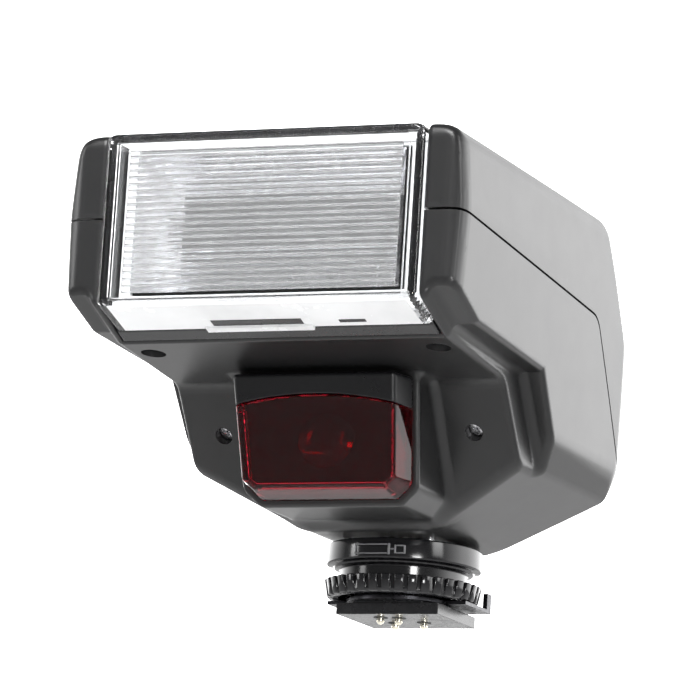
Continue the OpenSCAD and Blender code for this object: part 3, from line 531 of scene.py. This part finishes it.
front_outline = rounded_outline(
    mirrored([(10.5, floor_z), (30.5, floor_z + 10.2), (half_w - 2, floor_z + 15.5), (half_w, top_z - 14),
              (half_w - 1.8, top_z)]), both_ways([2, 3, 5, 12, 5]))
plan_outline = rounded_outline(mirrored([(half_w, front_y), (half_w - 2, rear_y)]), both_ways([3.8, 4]))
step_x = 29.6
step_back = 8.2
step_top_z = wing_top[1] + 2.6
step_y = wing_top[0] + step_back + wing_slope * (wing_top[1] - step_top_z)
step_outline = [(-200, 0), (step_y + wing_slope * step_top_z, 0), (step_y, step_top_z),
                (front_y + chin_l, chin_z + 2), (front_y - 5, lens_low_z + 4), (-200, lens_low_z + 4)]
bay_x = cover_high[0] + 0.15
bay_back_y = bezel_high[1]
cap_lean = 0.26
cap_depth = 5.0
cap_half = cap_high[0]


def cap_outline(grow, radii):
    """Front view of the focus lamp's block, with its lower corners cut, grown by an amount."""
    half = [(cap_half - 3.7 + grow / 2, cap_low[2] - grow),
            (cap_half - 1 + grow, cap_low[2] + 2.3 - grow / 2), (cap_half + grow, cap_high[2] + 3)]
    return rounded_outline(mirrored(half), both_ways(radii))


housing_outline = cap_outline(0.9, [1.8, 2.2, 0.3])


def behind_cap_face(y, z):
    """Distance behind the lamp's leaning front face."""
    return (y - (cap_low[1] + cap_lean * (cap_high[2] - z))) / math.hypot(1, cap_lean)


def casing_field(x, y, z, bay=True):
    """The whole casing: a rounded body, stepped flanks, the lamp's housing and the bay for the cover."""
    ax = np.abs(x)
    body = joined([outline_distance(y, z, side_outline), outline_distance(x, z, front_outline),
                   outline_distance(x, y, plan_outline)], 1.6)
    steps = joined([step_x - ax, outline_distance(y, z, step_outline)], 1.6)
    body = without(body, steps, 1.1)
    housing = joined([outline_distance(x, z, housing_outline), cap_depth - behind_cap_face(y, z),
                      y - wing_foot[0] - 2, z - wing_top[1] - 1], 0.6)
    body = added(body, housing, 1.7)
    if bay:
        body = without(body, np.maximum(ax - bay_x, y - bay_back_y), 0.6)
    return body


# The seam between the shells, seen from the side, with its corner behind the head.
seam_z = top_z - 14.6
seam_end_z = 19.5
seam_line = [(front_y - 5, seam_z + 0.35), (rear_y - 17.3, seam_z - 4.4), (rear_y - 3, 29.0),
             (rear_y + 3, seam_end_z)]
above_seam = rounded_outline([(-120, seam_z), *seam_line, (60, seam_end_z), (60, 120), (-120, 120)],
                             [1, 1, 4.5, 5, 1, 1, 1, 1])
seam_gap = 0.2


def lower_side(x, y, z):
    return outline_distance(y, z, above_seam) - seam_gap


def upper_side(x, y, z):
    return -outline_distance(y, z, above_seam) - seam_gap


door_low, door_high = box_mm("battery_door")
door_gap, hinge_room = 0.15, 0.5
door_sides = (door_low[1] - door_gap, door_high[1] + hinge_room)
door_ends = (door_low[2] - door_gap, door_high[2] + door_gap)
door_outline = rounded_outline(
    [(door_sides[0], door_ends[0]), (door_sides[1], door_ends[0]), (door_sides[1], door_ends[1]),
     (door_sides[0], door_ends[1])], [0.4] * 4, 3)


def outside_door(x, y, z):
    return np.where(x < 0, outline_distance(y, z, door_outline), 5.0)


head_screw_r, head_hole_r = 1.9, 2.1
case_screw_r, case_hole_r = 1.35, 1.5
head_low, head_high = box_mm("head_screws")
head_at = (head_high[0] - head_screw_r, (head_low[1] + head_high[1]) / 2)
wing_high = box_mm("case_screws")[1]
wing_normal = np.array([-1.0, -wing_slope]) / math.hypot(1, wing_slope)
wing_screw = np.array([wing_high[0] - case_screw_r, -29.0, wing_top[1] - 7.7])
far = 9.0


def outside_screws(x, y, z):
    """Above zero clear of the four screw holes, under the head and in the wings."""
    ax = np.abs(x)
    under = np.hypot(ax - head_at[0], y - head_at[1]) - head_hole_r
    under = np.where((z < chin_z + 3) & (y < wing_top[0]), under, far)
    along = (y - wing_screw[1]) * wing_normal[0] + (z - wing_screw[2]) * wing_normal[1]
    ry = y - wing_screw[1] - along * wing_normal[0]
    rz = z - wing_screw[2] - along * wing_normal[1]
    wing = np.sqrt((ax - wing_screw[0]) ** 2 + ry ** 2 + rz ** 2) - case_hole_r
    wing = np.where((np.abs(along) < 4) & (y < -15), wing, far)
    return np.minimum(under, wing)


button_low, button_high = box_mm("test_button")
lamp_low, lamp_high = box_mm("ready_lamp")
switch_low, switch_high = box_mm("power_switch")
slant = np.array([0.0, -slant_run, slant_rise]) / math.hypot(slant_run, slant_rise)
slant_mid = np.array([rear_y - 0.54 * slant_run, top_z - slant_low + 0.54 * slant_rise])
button_hole_r, lamp_hole_r, switch_slot_half = 3.45, 1.65, 2.3
switch_sides = (switch_low[0] - 0.3, switch_high[0] + 4.3)
switch_slot = rounded_outline(
    [(switch_sides[0], -switch_slot_half), (switch_sides[1], -switch_slot_half),
     (switch_sides[1], switch_slot_half), (switch_sides[0], switch_slot_half)], [0.6] * 4, 3)


def outside_controls(x, y, z):
    """Above zero clear of the button, the lamp and the switch in the slanting rear face."""
    up = (y - slant_mid[0]) * slant[1] + (z - slant_mid[1]) * slant[2]
    button = np.hypot(x - (button_low[0] + button_high[0]) / 2, up) - button_hole_r
    lamp = np.hypot(x - (lamp_low[0] + lamp_high[0]) / 2, up) - lamp_hole_r
    slot = outline_distance(x, up, switch_slot)
    return np.where((y > 0) & (z > top_z - slant_low - 2), np.minimum(np.minimum(button, lamp), slot), far)


plate_low, plate_high = box_mm("rear_plate")
plate_gap = 0.12
plate_sides = (plate_low[0] - plate_gap, plate_high[0] + plate_gap)
plate_ends = (plate_low[2] - plate_gap, plate_high[2] + plate_gap)
plate_frame = rounded_outline(
    [(plate_sides[0], plate_ends[0]), (plate_sides[1], plate_ends[0]), (plate_sides[1], plate_ends[1]),
     (plate_sides[0], plate_ends[1])], [0.3] * 4, 3)


def outside_plate(x, y, z):
    return np.where(y > rear_y - 3, outline_distance(x, z, plate_frame), far)


def rim_depth(x, y, z):
    """How far the casing's walls run in, deeper round the sunk screws."""
    return np.where(outside_screws(x, y, z) < 0.4, 2.9, 1.8)


def casing_pieces():
    """The two shells, cut from one skin along the seam and round their openings."""
    p, quads = skin(casing_field, shell_low - 1, shell_high + 1, 0.45)
    tris = as_tris(quads)
    for name, side, cuts, node in (
            ("front_casing", lower_side, (outside_door, outside_screws), "front_shell"),
            ("rear_casing", upper_side, (outside_door, outside_controls, outside_plate), "rear_shell")):
        q, t = trimmed(p, tris, side)
        for cut in cuts:
            q, t = trimmed(q, t, cut)
        normals = unit_rows(gradient(casing_field, q))
        to_object(name, [(q, t, normals), (*rims(q, t, normals, rim_depth), None)], casing_black, "body",
                  [node])


casing_pieces()


def bezel_field(x, y, z):
    """A frame that fills the bay behind the cover, with a window for the reflector."""
    ax = np.abs(x)
    depth = slab(y, bezel_low[1] + 0.02, bezel_high[1] - 0.25)
    ring = joined([casing_field(x, y, z, bay=False), ax - bezel_high[0], depth], 0.4)
    middle_z = (cover_high[2] + lens_low_z) / 2 - 0.8
    window = joined([ax - 25.2, np.abs(z - middle_z) - 10.6], 0.5)
    return without(ring, window, 0.3)


form_piece("bezel_ring", bezel_field, bezel_low - 1, bezel_high + 1, 0.35, moulded_black, "body",
           ["lens_bezel"])


# ============================== clear cover ==============================
cover_face_y, cover_back_y = cover_low[1], cover_high[1]
cover_top_z = cover_high[2]
cover_wall = 1.5
cover_side = rounded_outline(
    [(cover_face_y, lens_low_z - 0.5), (cover_back_y, chin_z + 1.4), (cover_back_y + 30, chin_z - 9),
     (cover_back_y + 30, cover_top_z), (cover_face_y, cover_top_z)], [1.0, 1.0, 0.5, 0.5, 1.0])
cover_front = rounded_outline(
    mirrored([(cover_high[0], chin_z - 12), (cover_high[0], cover_top_z)]), both_ways([2, 1.8]))
rib_half_w = 24.0
rib_top_z = cover_top_z - 3.0
rib_low_z = rib_top_z - 23.6
rib_mid_z, rib_half_h = (rib_top_z + rib_low_z) / 2, (rib_top_z - rib_low_z) / 2
tray_gap = 0.25


def cover_block(x, y, z):
    """The cover as a full block, before it is hollowed."""
    return joined([outline_distance(y, z, cover_side), outline_distance(x, z, cover_front)], 0.9)


def cover_field(x, y, z):
    """The clear cover, open at the back, with a shallow recess over the ribs."""
    ax = np.abs(x)
    whole = cover_block(x, y, z)
    inner = whole + cover_wall
    recess = [ax - rib_half_w - 1.6, np.abs(z - rib_mid_z) - rib_half_h - 1.3, y - cover_face_y - 0.4]
    shape = without(whole, joined(recess, 0.2), 0.2)
    return joined([shape, -inner, y - cover_back_y], 0.25)


form_piece("clear_cover", cover_field, cover_low - 1, cover_high + 1, 0.35, clear_acrylic, "body",
           ["flash_lens"])


def tray_field(top_part):
    """The lining inside the clear cover: pale at the sides and below, grey along the top."""
    split_z = rib_top_z + 0.6

    def field(x, y, z):
        ax = np.abs(x)
        room = cover_block(x, y, z) + cover_wall + tray_gap
        mouth = np.maximum(ax - rib_half_w - 0.1, np.abs(z - rib_mid_z) - rib_half_h - 0.1)
        sheet = slab(y + 0.0 * z, cover_back_y - 3.2, cover_back_y - 2.2)
        ring = joined([room, sheet, -mouth], 0.15)
        if not top_part:
            lip = joined([room, -(room + 0.7), z - rib_low_z + 2.0, y - cover_back_y + 0.3], 0.1)
            back = slab(y, cover_back_y - 0.6, cover_back_y - 0.1)
            back_lip = joined([room, back, z - rib_low_z + 0.6], 0.1)
            ring = np.minimum(ring, np.minimum(lip, back_lip))
        return np.maximum(ring, split_z + 0.05 - z if top_part else z - split_z)
    return field


form_piece("cover_tray", tray_field(False), cover_low - 1, cover_high + 1, 0.4, frosted_white, "body")
form_piece("cover_tray_top", tray_field(True), (cover_low[0] - 1, cover_low[1] - 1, rib_top_z - 1),
           cover_high + 1, 0.35, grey_lining, "body")


# ============================== repeated shapes ==============================
def repeated(name, shape, count, material, place):
    """A piece made by Geometry Nodes from copies of shape.

    place(group, index) gives the position and rotation sockets, the second one None where nothing turns.
    """
    group = bpy.data.node_groups.new(name + "_nodes", "GeometryNodeTree")
    group.interface.new_socket("Geometry", in_out="OUTPUT", socket_type="NodeSocketGeometry")
    group.interface.new_socket("Shape", in_out="INPUT", socket_type="NodeSocketObject")
    group.interface.new_socket("Count", in_out="INPUT", socket_type="NodeSocketInt")
    new, link = group.nodes.new, group.links.new
    given, out = new("NodeGroupInput"), new("NodeGroupOutput")
    points = new("GeometryNodePoints")
    link(given.outputs["Count"], points.inputs["Count"])
    index = new("GeometryNodeInputIndex")
    position, rotation = place(group, index.outputs["Index"])
    setter = new("GeometryNodeSetPosition")
    link(points.outputs["Points"], setter.inputs["Geometry"])
    link(position, setter.inputs["Position"])
    info = new("GeometryNodeObjectInfo")
    link(given.outputs["Shape"], info.inputs["Object"])
    copies = new("GeometryNodeInstanceOnPoints")
    link(setter.outputs["Geometry"], copies.inputs["Points"])
    link(info.outputs["Geometry"], copies.inputs["Instance"])
    if rotation is not None:
        link(rotation, copies.inputs["Rotation"])
    real = new("GeometryNodeRealizeInstances")
    link(copies.outputs["Instances"], real.inputs["Geometry"])
    finish = new("GeometryNodeSetMaterial")
    finish.inputs["Material"].default_value = material
    link(real.outputs["Geometry"], finish.inputs["Geometry"])
    link(finish.outputs["Geometry"], out.inputs["Geometry"])
    holder = bpy.data.objects.new(name, bpy.data.meshes.new(name + "_seed"))
    scene.collection.objects.link(holder)
    modifier = holder.modifiers.new("copies", "NODES")
    modifier.node_group = group
    for item in group.interface.items_tree:
        if item.in_out == "INPUT":
            modifier[item.identifier] = shape if item.name == "Shape" else count
    holder.update_tag()
    bpy.context.view_layer.update()
    ready = holder.evaluated_get(bpy.context.evaluated_depsgraph_get())
    mesh = bpy.data.meshes.new_from_object(ready)
    holder.modifiers.clear()
    holder.data = mesh
    bpy.data.objects.remove(shape)
    return holder


def along(group, index, start, step):
    """Positions in a straight row, in metres."""
    scaled = group.nodes.new("ShaderNodeVectorMath")
    scaled.operation = "SCALE"
    scaled.inputs[0].default_value = step
    group.links.new(index, scaled.inputs["Scale"])
    moved = group.nodes.new("ShaderNodeVectorMath")
    moved.operation = "ADD"
    moved.inputs[1].default_value = start
    group.links.new(scaled.outputs["Vector"], moved.inputs[0])
    return moved.outputs["Vector"], None


def around(group, index, centre, count):
    """Copies turned about a vertical axis, each drawn at the centre."""
    turn = group.nodes.new("ShaderNodeMath")
    turn.operation = "MULTIPLY"
    turn.inputs[1].default_value = 2 * math.pi / count
    group.links.new(index, turn.inputs[0])
    spin = group.nodes.new("ShaderNodeCombineXYZ")
    group.links.new(turn.outputs["Value"], spin.inputs["Z"])
    place = group.nodes.new("ShaderNodeCombineXYZ")
    for socket, value in zip(place.inputs, centre):
        socket.default_value = value
    return place.outputs["Vector"], spin.outputs["Vector"]


def loose_mesh(name, points, faces):
    mesh = bpy.data.meshes.new(name)
    mesh.from_pydata([tuple(c * MM for c in p) for p in points], [], faces)
    mesh.update()
    o = bpy.data.objects.new(name, mesh)
    scene.collection.objects.link(o)
    return o


def prism_bar(name, profile, low_x, high_x):
    """A bar along X with an outline of (y, z) corners."""
    n = len(profile)
    points = [(x, y, z) for x in (low_x, high_x) for y, z in profile]
    faces = [(i, (i + 1) % n, n + (i + 1) % n, n + i) for i in range(n)]
    faces += [tuple(range(n - 1, -1, -1)), tuple(range(n, 2 * n))]
    return loose_mesh(name, points, faces)


def point_out(o):
    bm = bmesh.new()
    bm.from_mesh(o.data)
    bmesh.ops.recalc_face_normals(bm, faces=bm.faces)
    bm.to_mesh(o.data)
    bm.free()
    return o


def merged(name, pieces, material):
    """Several loose pieces made into one mesh with one material."""
    bm = bmesh.new()
    for o in pieces:
        bm.from_mesh(o.data)
        bpy.data.objects.remove(o)
    mesh = bpy.data.meshes.new(name)
    bm.to_mesh(mesh)
    bm.free()
    mesh.materials.clear()
    mesh.materials.append(material)
    for f in mesh.polygons:
        f.material_index = 0
    o = bpy.data.objects.new(name, mesh)
    scene.collection.objects.link(o)
    return o


rib_count = 21
rib_pitch = (rib_top_z - rib_low_z) / rib_count
rib_profile = [(0.02, -0.48 * rib_pitch)] + [
    (0.02 + 0.42 * math.cos(a), 0.48 * rib_pitch * math.sin(a)) for a in np.radians(range(-75, 76, 25))
] + [(0.02, 0.48 * rib_pitch)]
rib_shape = point_out(prism_bar("rib_shape", rib_profile, -rib_half_w, rib_half_w))
inner_face_y = cover_face_y + cover_wall
ribs = repeated("cover_ribs", rib_shape, rib_count, rib_acrylic, lambda g, i: along(
    g, i, (0, inner_face_y * MM, (rib_low_z + rib_pitch / 2) * MM), (0, 0, rib_pitch * MM)))
settle(ribs, "body")


# ============================== painted slot shade and tab under the cover, painted highlight bar at its top ===
cover_fall = (chin_z + 1.4 - lens_low_z + 0.5) / (cover_back_y - cover_face_y)


def under_cover(name, front, back, out, into, x0, x1, material):
    """A bar along the cover's underside, standing out of it and running into it by the given amounts.

    front and back are distances ahead of the cover's rear edge.
    """
    y0, y1 = cover_back_y - front, cover_back_y - back
    z0, z1 = (lens_low_z - 0.5 + cover_fall * (y - cover_face_y) for y in (y0, y1))
    profile = [(y0, z0 - out), (y1, z1 - out), (y1, z1 + into), (y0, z0 + into)]
    bar = point_out(prism_bar(name, profile, x0, x1))
    bar.data.materials.append(material)
    return bar


def cover_underside():
    """The pale strip under the cover, black bars as painted shade in its two slots, and the tab that hangs
    behind the long one.
    """
    strip = under_cover("pale_strip", 7.6, 0.2, 0.03, 0.2, -26.2, 26.2, frosted_white)
    settle(strip, "body")
    # Black bars paint the shade inside the two slots instead of cutting them as recesses.
    slot_shades = [under_cover("long_slot", 2.7, 1.1, 0.09, 0.1, -9.9, 6.0, moulded_black),
             under_cover("short_slot", 2.1, 1.3, 0.09, 0.1, 12.4, 17.0, moulded_black)]
    settle(merged("cover_slots", slot_shades, moulded_black), "body")
    tab = [under_cover("tab_bar", 1.0, -0.2, 0.45, 0.1, -11.4, 7.4, frosted_white),
           under_cover("tab_left", 3.0, 1.0, 0.12, 0.1, -11.4, -10.2, frosted_white),
           under_cover("tab_right", 3.0, 1.0, 0.12, 0.1, 6.3, 7.4, frosted_white)]
    settle(merged("cover_tab", tab, frosted_white), "body")


def bright_slot():
    """A pale bar behind the cover's top band, its white standing for the highlight there: a painted
    highlight.
    """
    y0, y1 = cover_face_y + 1.85, cover_face_y + 2.3
    z0, z1 = cover_top_z - 2.4, cover_top_z - 1.8
    # The white of this bar is a painted highlight, not a lit clear tab.
    bar = point_out(prism_bar("bright_slot", [(y0, z0), (y1, z0), (y1, z1), (y0, z1)], -9.7, 13.8))
    bar.data.materials.append(frosted_white)
    settle(bar, "body")


cover_underside()
bright_slot()


# ============================== reflector ==============================
def reflector_bowl():
    """A bent bright sheet: curved from top to bottom, with its two ends turned forward."""
    low, high = box_mm("reflector")
    middle_z = (low[2] + high[2]) / 2
    half_h, half_w, depth = (high[2] - low[2]) / 2 - 0.4, 23.6, high[1] - low[1] - 0.3
    floor_half = 16.6
    mouth_y = low[1]
    across = np.unique(np.concatenate([
        np.linspace(-half_w, -floor_half, 9), np.linspace(-floor_half, floor_half, 25),
        np.linspace(floor_half, half_w, 9)]))
    up = np.linspace(-1, 1, 41)
    front, back = [], []
    for x in across:
        reach = min(1.0, max(0.0, (half_w - abs(x)) / (half_w - floor_half)))
        for t in up:
            y = mouth_y + min(depth * (1 - t * t), depth * reach * 0.98 + 0.02)
            front.append((x, y, middle_z + half_h * t))
            back.append((x, y + 0.3, middle_z + half_h * t))
    nu, nv = len(across), len(up)
    faces = []
    for i in range(nu - 1):
        for j in range(nv - 1):
            a, b, c, d = i * nv + j, (i + 1) * nv + j, (i + 1) * nv + j + 1, i * nv + j + 1
            faces.append((a, b, c, d))
            faces.append(tuple(nu * nv + k for k in (d, c, b, a)))
    o = loose_mesh("reflector_bowl", front + back, faces)
    o.data.materials.append(bright_reflector)
    for f in o.data.polygons:
        f.use_smooth = True
    settle(o, "body", ["reflector"])


reflector_bowl()


# ============================== focus lamp ==============================
arch_rise = 2.0
plate_drop = 5.4
arch_r = (cap_half ** 2 + arch_rise ** 2) / (2 * arch_rise)
arch_z = cap_high[2] - plate_drop + arch_rise - arch_r
cap_taper = 1.3
cap_solid_outline = cap_outline(0.0, [1.4, 1.8, 0.3])


def cap_solid(x, y, z):
    """The lamp's block, which narrows towards its face."""
    behind = behind_cap_face(y, z)
    taper = cap_taper * (1 - np.clip(behind / cap_depth, 0, 1))
    return joined([outline_distance(x, z, cap_solid_outline) + taper, -behind, z - cap_high[2]], 0.7)


def lamp_face(x, y, z):
    """The block without its rear, which the window and the plate share."""
    return joined([cap_solid(x, y, z), behind_cap_face(y, z) - cap_depth + 0.05], 0.2)


arch_gap = 0.06
lamp_wall = 1.3


def window_field(x, y, z):
    """The hollow red window, under an arched joint."""
    arch = np.hypot(x, z - arch_z) - arch_r
    return joined([lamp_face(x, y, z), -(cap_solid(x, y, z) + lamp_wall), arch + arch_gap], 0.2)


def nameplate_field(x, y, z):
    """The hollow blank plate, over the arched joint."""
    arch = arch_r + arch_gap - np.hypot(x, z - arch_z)
    return joined([lamp_face(x, y, z), -(cap_solid(x, y, z) + lamp_wall), arch], 0.15)


form_piece("red_window", window_field, cap_low - 1, cap_high + 1, 0.28, red_acrylic, "body",
           ["af_window"])
form_piece("blank_plate", nameplate_field, cap_low - 1, cap_high + 1, 0.28, plate_black, "body",
           ["af_nameplate"])


# ============================== collar, wheel and foot ==============================
def turned(name, profile, centre, steps=128):
    """A turned solid from (radius, z) corners, each rounded by its own radius."""
    outline = rounded_outline([p[:2] for p in profile], [p[2] for p in profile], 4)
    n = len(outline)
    points = [(centre[0] + r * math.cos(a), centre[1] + r * math.sin(a), z)
              for a in np.linspace(0, 2 * math.pi, steps, endpoint=False) for r, z in outline]
    faces = [(s * n + i, ((s + 1) % steps) * n + i, ((s + 1) % steps) * n + (i + 1) % n, s * n + (i + 1) % n)
             for s in range(steps) for i in range(n)]
    o = point_out(loose_mesh(name, points, faces))
    for f in o.data.polygons:
        f.use_smooth = True
    o.data.set_sharp_from_angle(angle=math.radians(35))
    return o


def soft_block(name, low, high, bevel=0.2, segments=2):
    """A block with bevelled edges."""
    plan = [(low[0], low[1]), (high[0], low[1]), (high[0], high[1]), (low[0], high[1])]
    n = len(plan)
    points = [(x, y, z) for z in (low[2], high[2]) for x, y in plan]
    faces = [tuple(range(n - 1, -1, -1)), tuple(range(n, 2 * n))]
    faces += [(i, (i + 1) % n, n + (i + 1) % n, n + i) for i in range(n)]
    o = point_out(loose_mesh(name, points, faces))
    bm = bmesh.new()
    bm.from_mesh(o.data)
    bmesh.ops.bevel(bm, geom=list(bm.edges), offset=bevel * MM, segments=segments, profile=0.5,
                    affect="EDGES")
    bm.to_mesh(o.data)
    bm.free()
    return o


collar_low, collar_high = box_mm("neck_collar")
wheel_low, wheel_high = box_mm("lock_wheel")
seat = ((collar_low[0] + collar_high[0]) / 2, (collar_low[1] + collar_high[1]) / 2)


def collar_piece():
    """The turned collar with its lip, and the outlined lock mark on its front, its raised lines in a lighter
    grey as a painted highlight.
    """
    r = collar_high[0] - seat[0]
    bore_r, spigot_r = 4.6, 10.75
    end_z = collar_low[2] + 0.02
    lip_z = wheel_high[2] + 1.95
    ring = turned("collar_ring", [
        (bore_r, end_z, 0.1), (spigot_r, end_z, 0.1), (spigot_r, lip_z, 0.3), (r - 1.4, lip_z, 0.35),
        (r - 1.2, lip_z + 0.45, 0.2), (r, lip_z + 0.6, 0.35), (r, collar_high[2], 0.3),
        (bore_r, collar_high[2], 0.1)], seat)
    mark_z, mark_h = lip_z + 2.1, 0.85
    out = seat[1] - r
    settle(merged("collar", [ring], gloss_black), "body", ["neck_collar"])
    pieces = []
    for name, x0, x1, z0, z1 in (
            ("bar_low", -3.4, 2.4, mark_z - mark_h, mark_z - mark_h + 0.2),
            ("bar_top", -3.4, 2.4, mark_z + mark_h - 0.2, mark_z + mark_h),
            ("left", -3.7, -3.4, mark_z - mark_h - 0.2, mark_z + mark_h + 0.2),
            ("right", 2.4, 2.8, mark_z - mark_h - 0.1, mark_z + mark_h + 0.1),
            ("end_low", 3.7, 5.1, mark_z - mark_h + 0.1, mark_z - mark_h + 0.35),
            ("end_top", 3.7, 5.1, mark_z + mark_h - 0.35, mark_z + mark_h - 0.1),
            ("end_left", 3.5, 3.8, mark_z - mark_h + 0.1, mark_z + mark_h - 0.1),
            ("end_right", 5.0, 5.3, mark_z - mark_h + 0.1, mark_z + mark_h - 0.1),
            ("link", 2.8, 3.5, mark_z - 0.12, mark_z + 0.12)):
        x_mid = (x0 + x1) / 2
        sink = r - math.sqrt(r * r - x_mid * x_mid)
        pieces.append(soft_block(name, (x0, out + sink - 0.25, z0), (x1, out + sink + 1.2, z1), 0.08, 1))
    # The mark's lighter grey is a painted highlight on its raised lines.
    settle(merged("collar_mark", pieces, mark_highlight_grey), "body")


def wheel_piece():
    """The lock wheel. Its teeth are one bevelled block repeated around the rim."""
    r = wheel_high[0] - seat[0]
    z0, z1 = wheel_low[2], wheel_high[2]
    tooth_out = 0.75
    root, bore_r = r - tooth_out, 10.9
    disc = turned("wheel_disc", [
        (bore_r, z0, 0.1), (root - 0.4, z0, 0.2), (root, z0 + 0.5, 0.2), (root, z1 - 0.1, 0.1),
        (root - 0.2, z1, 0.1), (bore_r, z1, 0.1)], seat, 144)
    teeth = 36
    half = 0.78
    tooth = soft_block("tooth", (root - 1.0, -half, z0 + 0.02), (r, half, z1 - 0.02), 0.22, 2)
    for v in tooth.data.vertices:
        low_part = max(0.0, 1.0 - (v.co.z / MM - z0) / 0.9)
        if v.co.x / MM > root:
            v.co.x -= tooth_out * low_part * MM
    for f in tooth.data.polygons:
        f.use_smooth = True
    tooth.data.set_sharp_from_angle(angle=math.radians(50))
    knurl = repeated("wheel_teeth", tooth, teeth, gloss_black,
                     lambda g, i: around(g, i, (seat[0] * MM, seat[1] * MM, 0.0), teeth))
    settle(merged("knurled_wheel", [disc, knurl], gloss_black), "lock_wheel", ["lock_wheel"])


def foot_piece():
    """The foot keeps its mesh with the pin sockets. Each pin comes out through a dark ring."""
    frame["nodes"]["shoe_foot"].data.materials[0] = moulded_black
    hole_r, ring_r, face_z, top_z = 0.72, 1.25, -0.06, 0.2
    profile = [(hole_r, face_z, 0.02), (ring_r, face_z, 0.05), (ring_r, top_z, 0.02), (hole_r, top_z, 0.02)]
    rings = []
    for k in range(1, 5):
        low, high = box_mm(f"contact_pin_{k}")
        centre = ((low[0] + high[0]) / 2, (low[1] + high[1]) / 2)
        rings.append(turned("pin_ring", profile, centre, 40))
    settle(merged("pin_rings", rings, rubber_black), "body")


collar_piece()
wheel_piece()
foot_piece()


# ============================== hinge lug behind the battery door ==============================
def hinge_lug():
    """The eye on the casing that the door's hinge pin runs through."""
    low, high = box_mm("door_hinge_pin")
    x, y = (low[0] + high[0]) / 2, (low[1] + high[1]) / 2
    third = (door_high[2] - door_low[2]) / 3
    z0, z1 = door_low[2] + third + 0.15, door_high[2] - third - 0.15
    lug = turned("lug_eye", [(0.72, z0, 0.02), (1.5, z0, 0.1), (1.5, z1, 0.1), (0.72, z1, 0.02)], (x, y), 48)
    arm = soft_block("lug_arm", (x + 0.9, y - 0.8, z0), (x + 2.9, y + 3.4, z1), 0.1, 1)
    settle(merged("hinge_lug", [lug, arm], casing_black), "body")


hinge_lug()


# ============================== studio ==============================
def studio():
    """A pale floor well below the flash, and air that is brighter behind it than in front."""
    floor_mesh = bpy.data.meshes.new("studio_floor")
    s, z = 4.0, -0.35
    floor_mesh.from_pydata([(-s, -s, z), (s, -s, z), (s, s, z), (-s, s, z)], [], [(0, 1, 2, 3)])
    floor = bpy.data.objects.new("studio_floor", floor_mesh)
    scene.collection.objects.link(floor)
    m, tree, shader, _ = new_material("pale_floor")
    mottle = remap(tree, object_noise(tree, 300.0), 0.0, 1.0)
    tint = blend_colour(tree, mottle, (0.83, 0.83, 0.83), (0.87, 0.87, 0.87))
    tree.links.new(tint, shader.inputs["Base Color"])
    shader.inputs["Roughness"].default_value = 0.7
    floor_mesh.materials.append(m)
    world = bpy.data.worlds.new("studio_air")
    scene.world = world
    world.use_nodes = True
    tree = world.node_tree
    tree.nodes.clear()
    where = tree.nodes.new("ShaderNodeTexCoord")
    parts = tree.nodes.new("ShaderNodeSeparateXYZ")
    tree.links.new(where.outputs["Generated"], parts.inputs[0])
    behind = remap(tree, parts.outputs["Y"], FRONT_LIGHT, BACK_LIGHT, -0.25, 0.45)
    overhead = remap(tree, parts.outputs["Z"], 1.0, 0.12, 0.3, 0.62)
    level = tree.nodes.new("ShaderNodeMath")
    level.operation = "MULTIPLY"
    tree.links.new(behind, level.inputs[0])
    tree.links.new(overhead, level.inputs[1])
    air = tree.nodes.new("ShaderNodeBackground")
    tree.links.new(level.outputs["Value"], air.inputs["Strength"])
    out = tree.nodes.new("ShaderNodeOutputWorld")
    tree.links.new(air.outputs["Background"], out.inputs["Surface"])


def softbox(name, at, aim, size, power, spread):
    """A rectangular light. A narrow spread, in degrees, keeps it to what it is aimed at."""
    light = bpy.data.lights.new(name, "AREA")
    light.shape = "RECTANGLE"
    light.size, light.size_y = size
    light.energy = power
    light.spread = math.radians(spread)
    o = bpy.data.objects.new(name, light)
    o.location = at
    o.rotation_euler = (Vector(aim) - Vector(at)).to_track_quat("-Z", "Y").to_euler()
    scene.collection.objects.link(o)


FRONT_LIGHT, BACK_LIGHT = 0.3, 4.6
studio()
softbox("front_softbox", (-0.1, -1.25, 1.05), (0, -0.05, 0.05), (1.0, 0.7), 4.6, 60.0)
softbox("right_softbox", (1.1, -0.35, 0.45), (0, -0.02, 0.04), (0.35, 0.8), 0.65, 60.0)
softbox("left_softbox", (-0.9, -0.6, 0.3), (0, -0.03, 0.04), (0.25, 0.7), 0.5, 60.0)
softbox("rear_softbox", (0.62, 1.15, 0.3), (0.03, -0.02, 0.05), (0.9, 0.9), 0.12, 80.0)
softbox("low_softbox", (0.95, -1.1, -0.12), (0, -0.05, 0.04), (0.3, 0.25), 0.9, 60.0)
softbox("floor_softbox", (0.25, 1.0, 0.6), (0.25, 1.0, -0.3), (0.8, 0.8), 3.5, 100.0)


def camera():
    """A three-quarter view from a little below, with the camera slightly rolled."""
    turn, look_up, roll = (math.radians(a) for a in (24.0, 10.87, 3.59))
    level = math.cos(look_up)
    back = Vector((math.sin(turn) * level, -math.cos(turn) * level, -math.sin(look_up)))
    right = (-back).cross(Vector((0, 0, 1))).normalized()
    up = right.cross(-back)
    right, up = right * math.cos(roll) + up * math.sin(roll), up * math.cos(roll) - right * math.sin(roll)
    data = bpy.data.cameras.new("camera")
    data.lens = 274.45
    data.sensor_width = 36.0
    data.clip_start, data.clip_end = 0.05, 30.0
    o = bpy.data.objects.new("camera", data)
    o.matrix_world = Matrix((right, up, back)).transposed().to_4x4()
    o.location = (0.3537, -0.8246, -0.1261)
    scene.collection.objects.link(o)
    scene.camera = o


camera()
scene.view_settings.view_transform = "Standard"
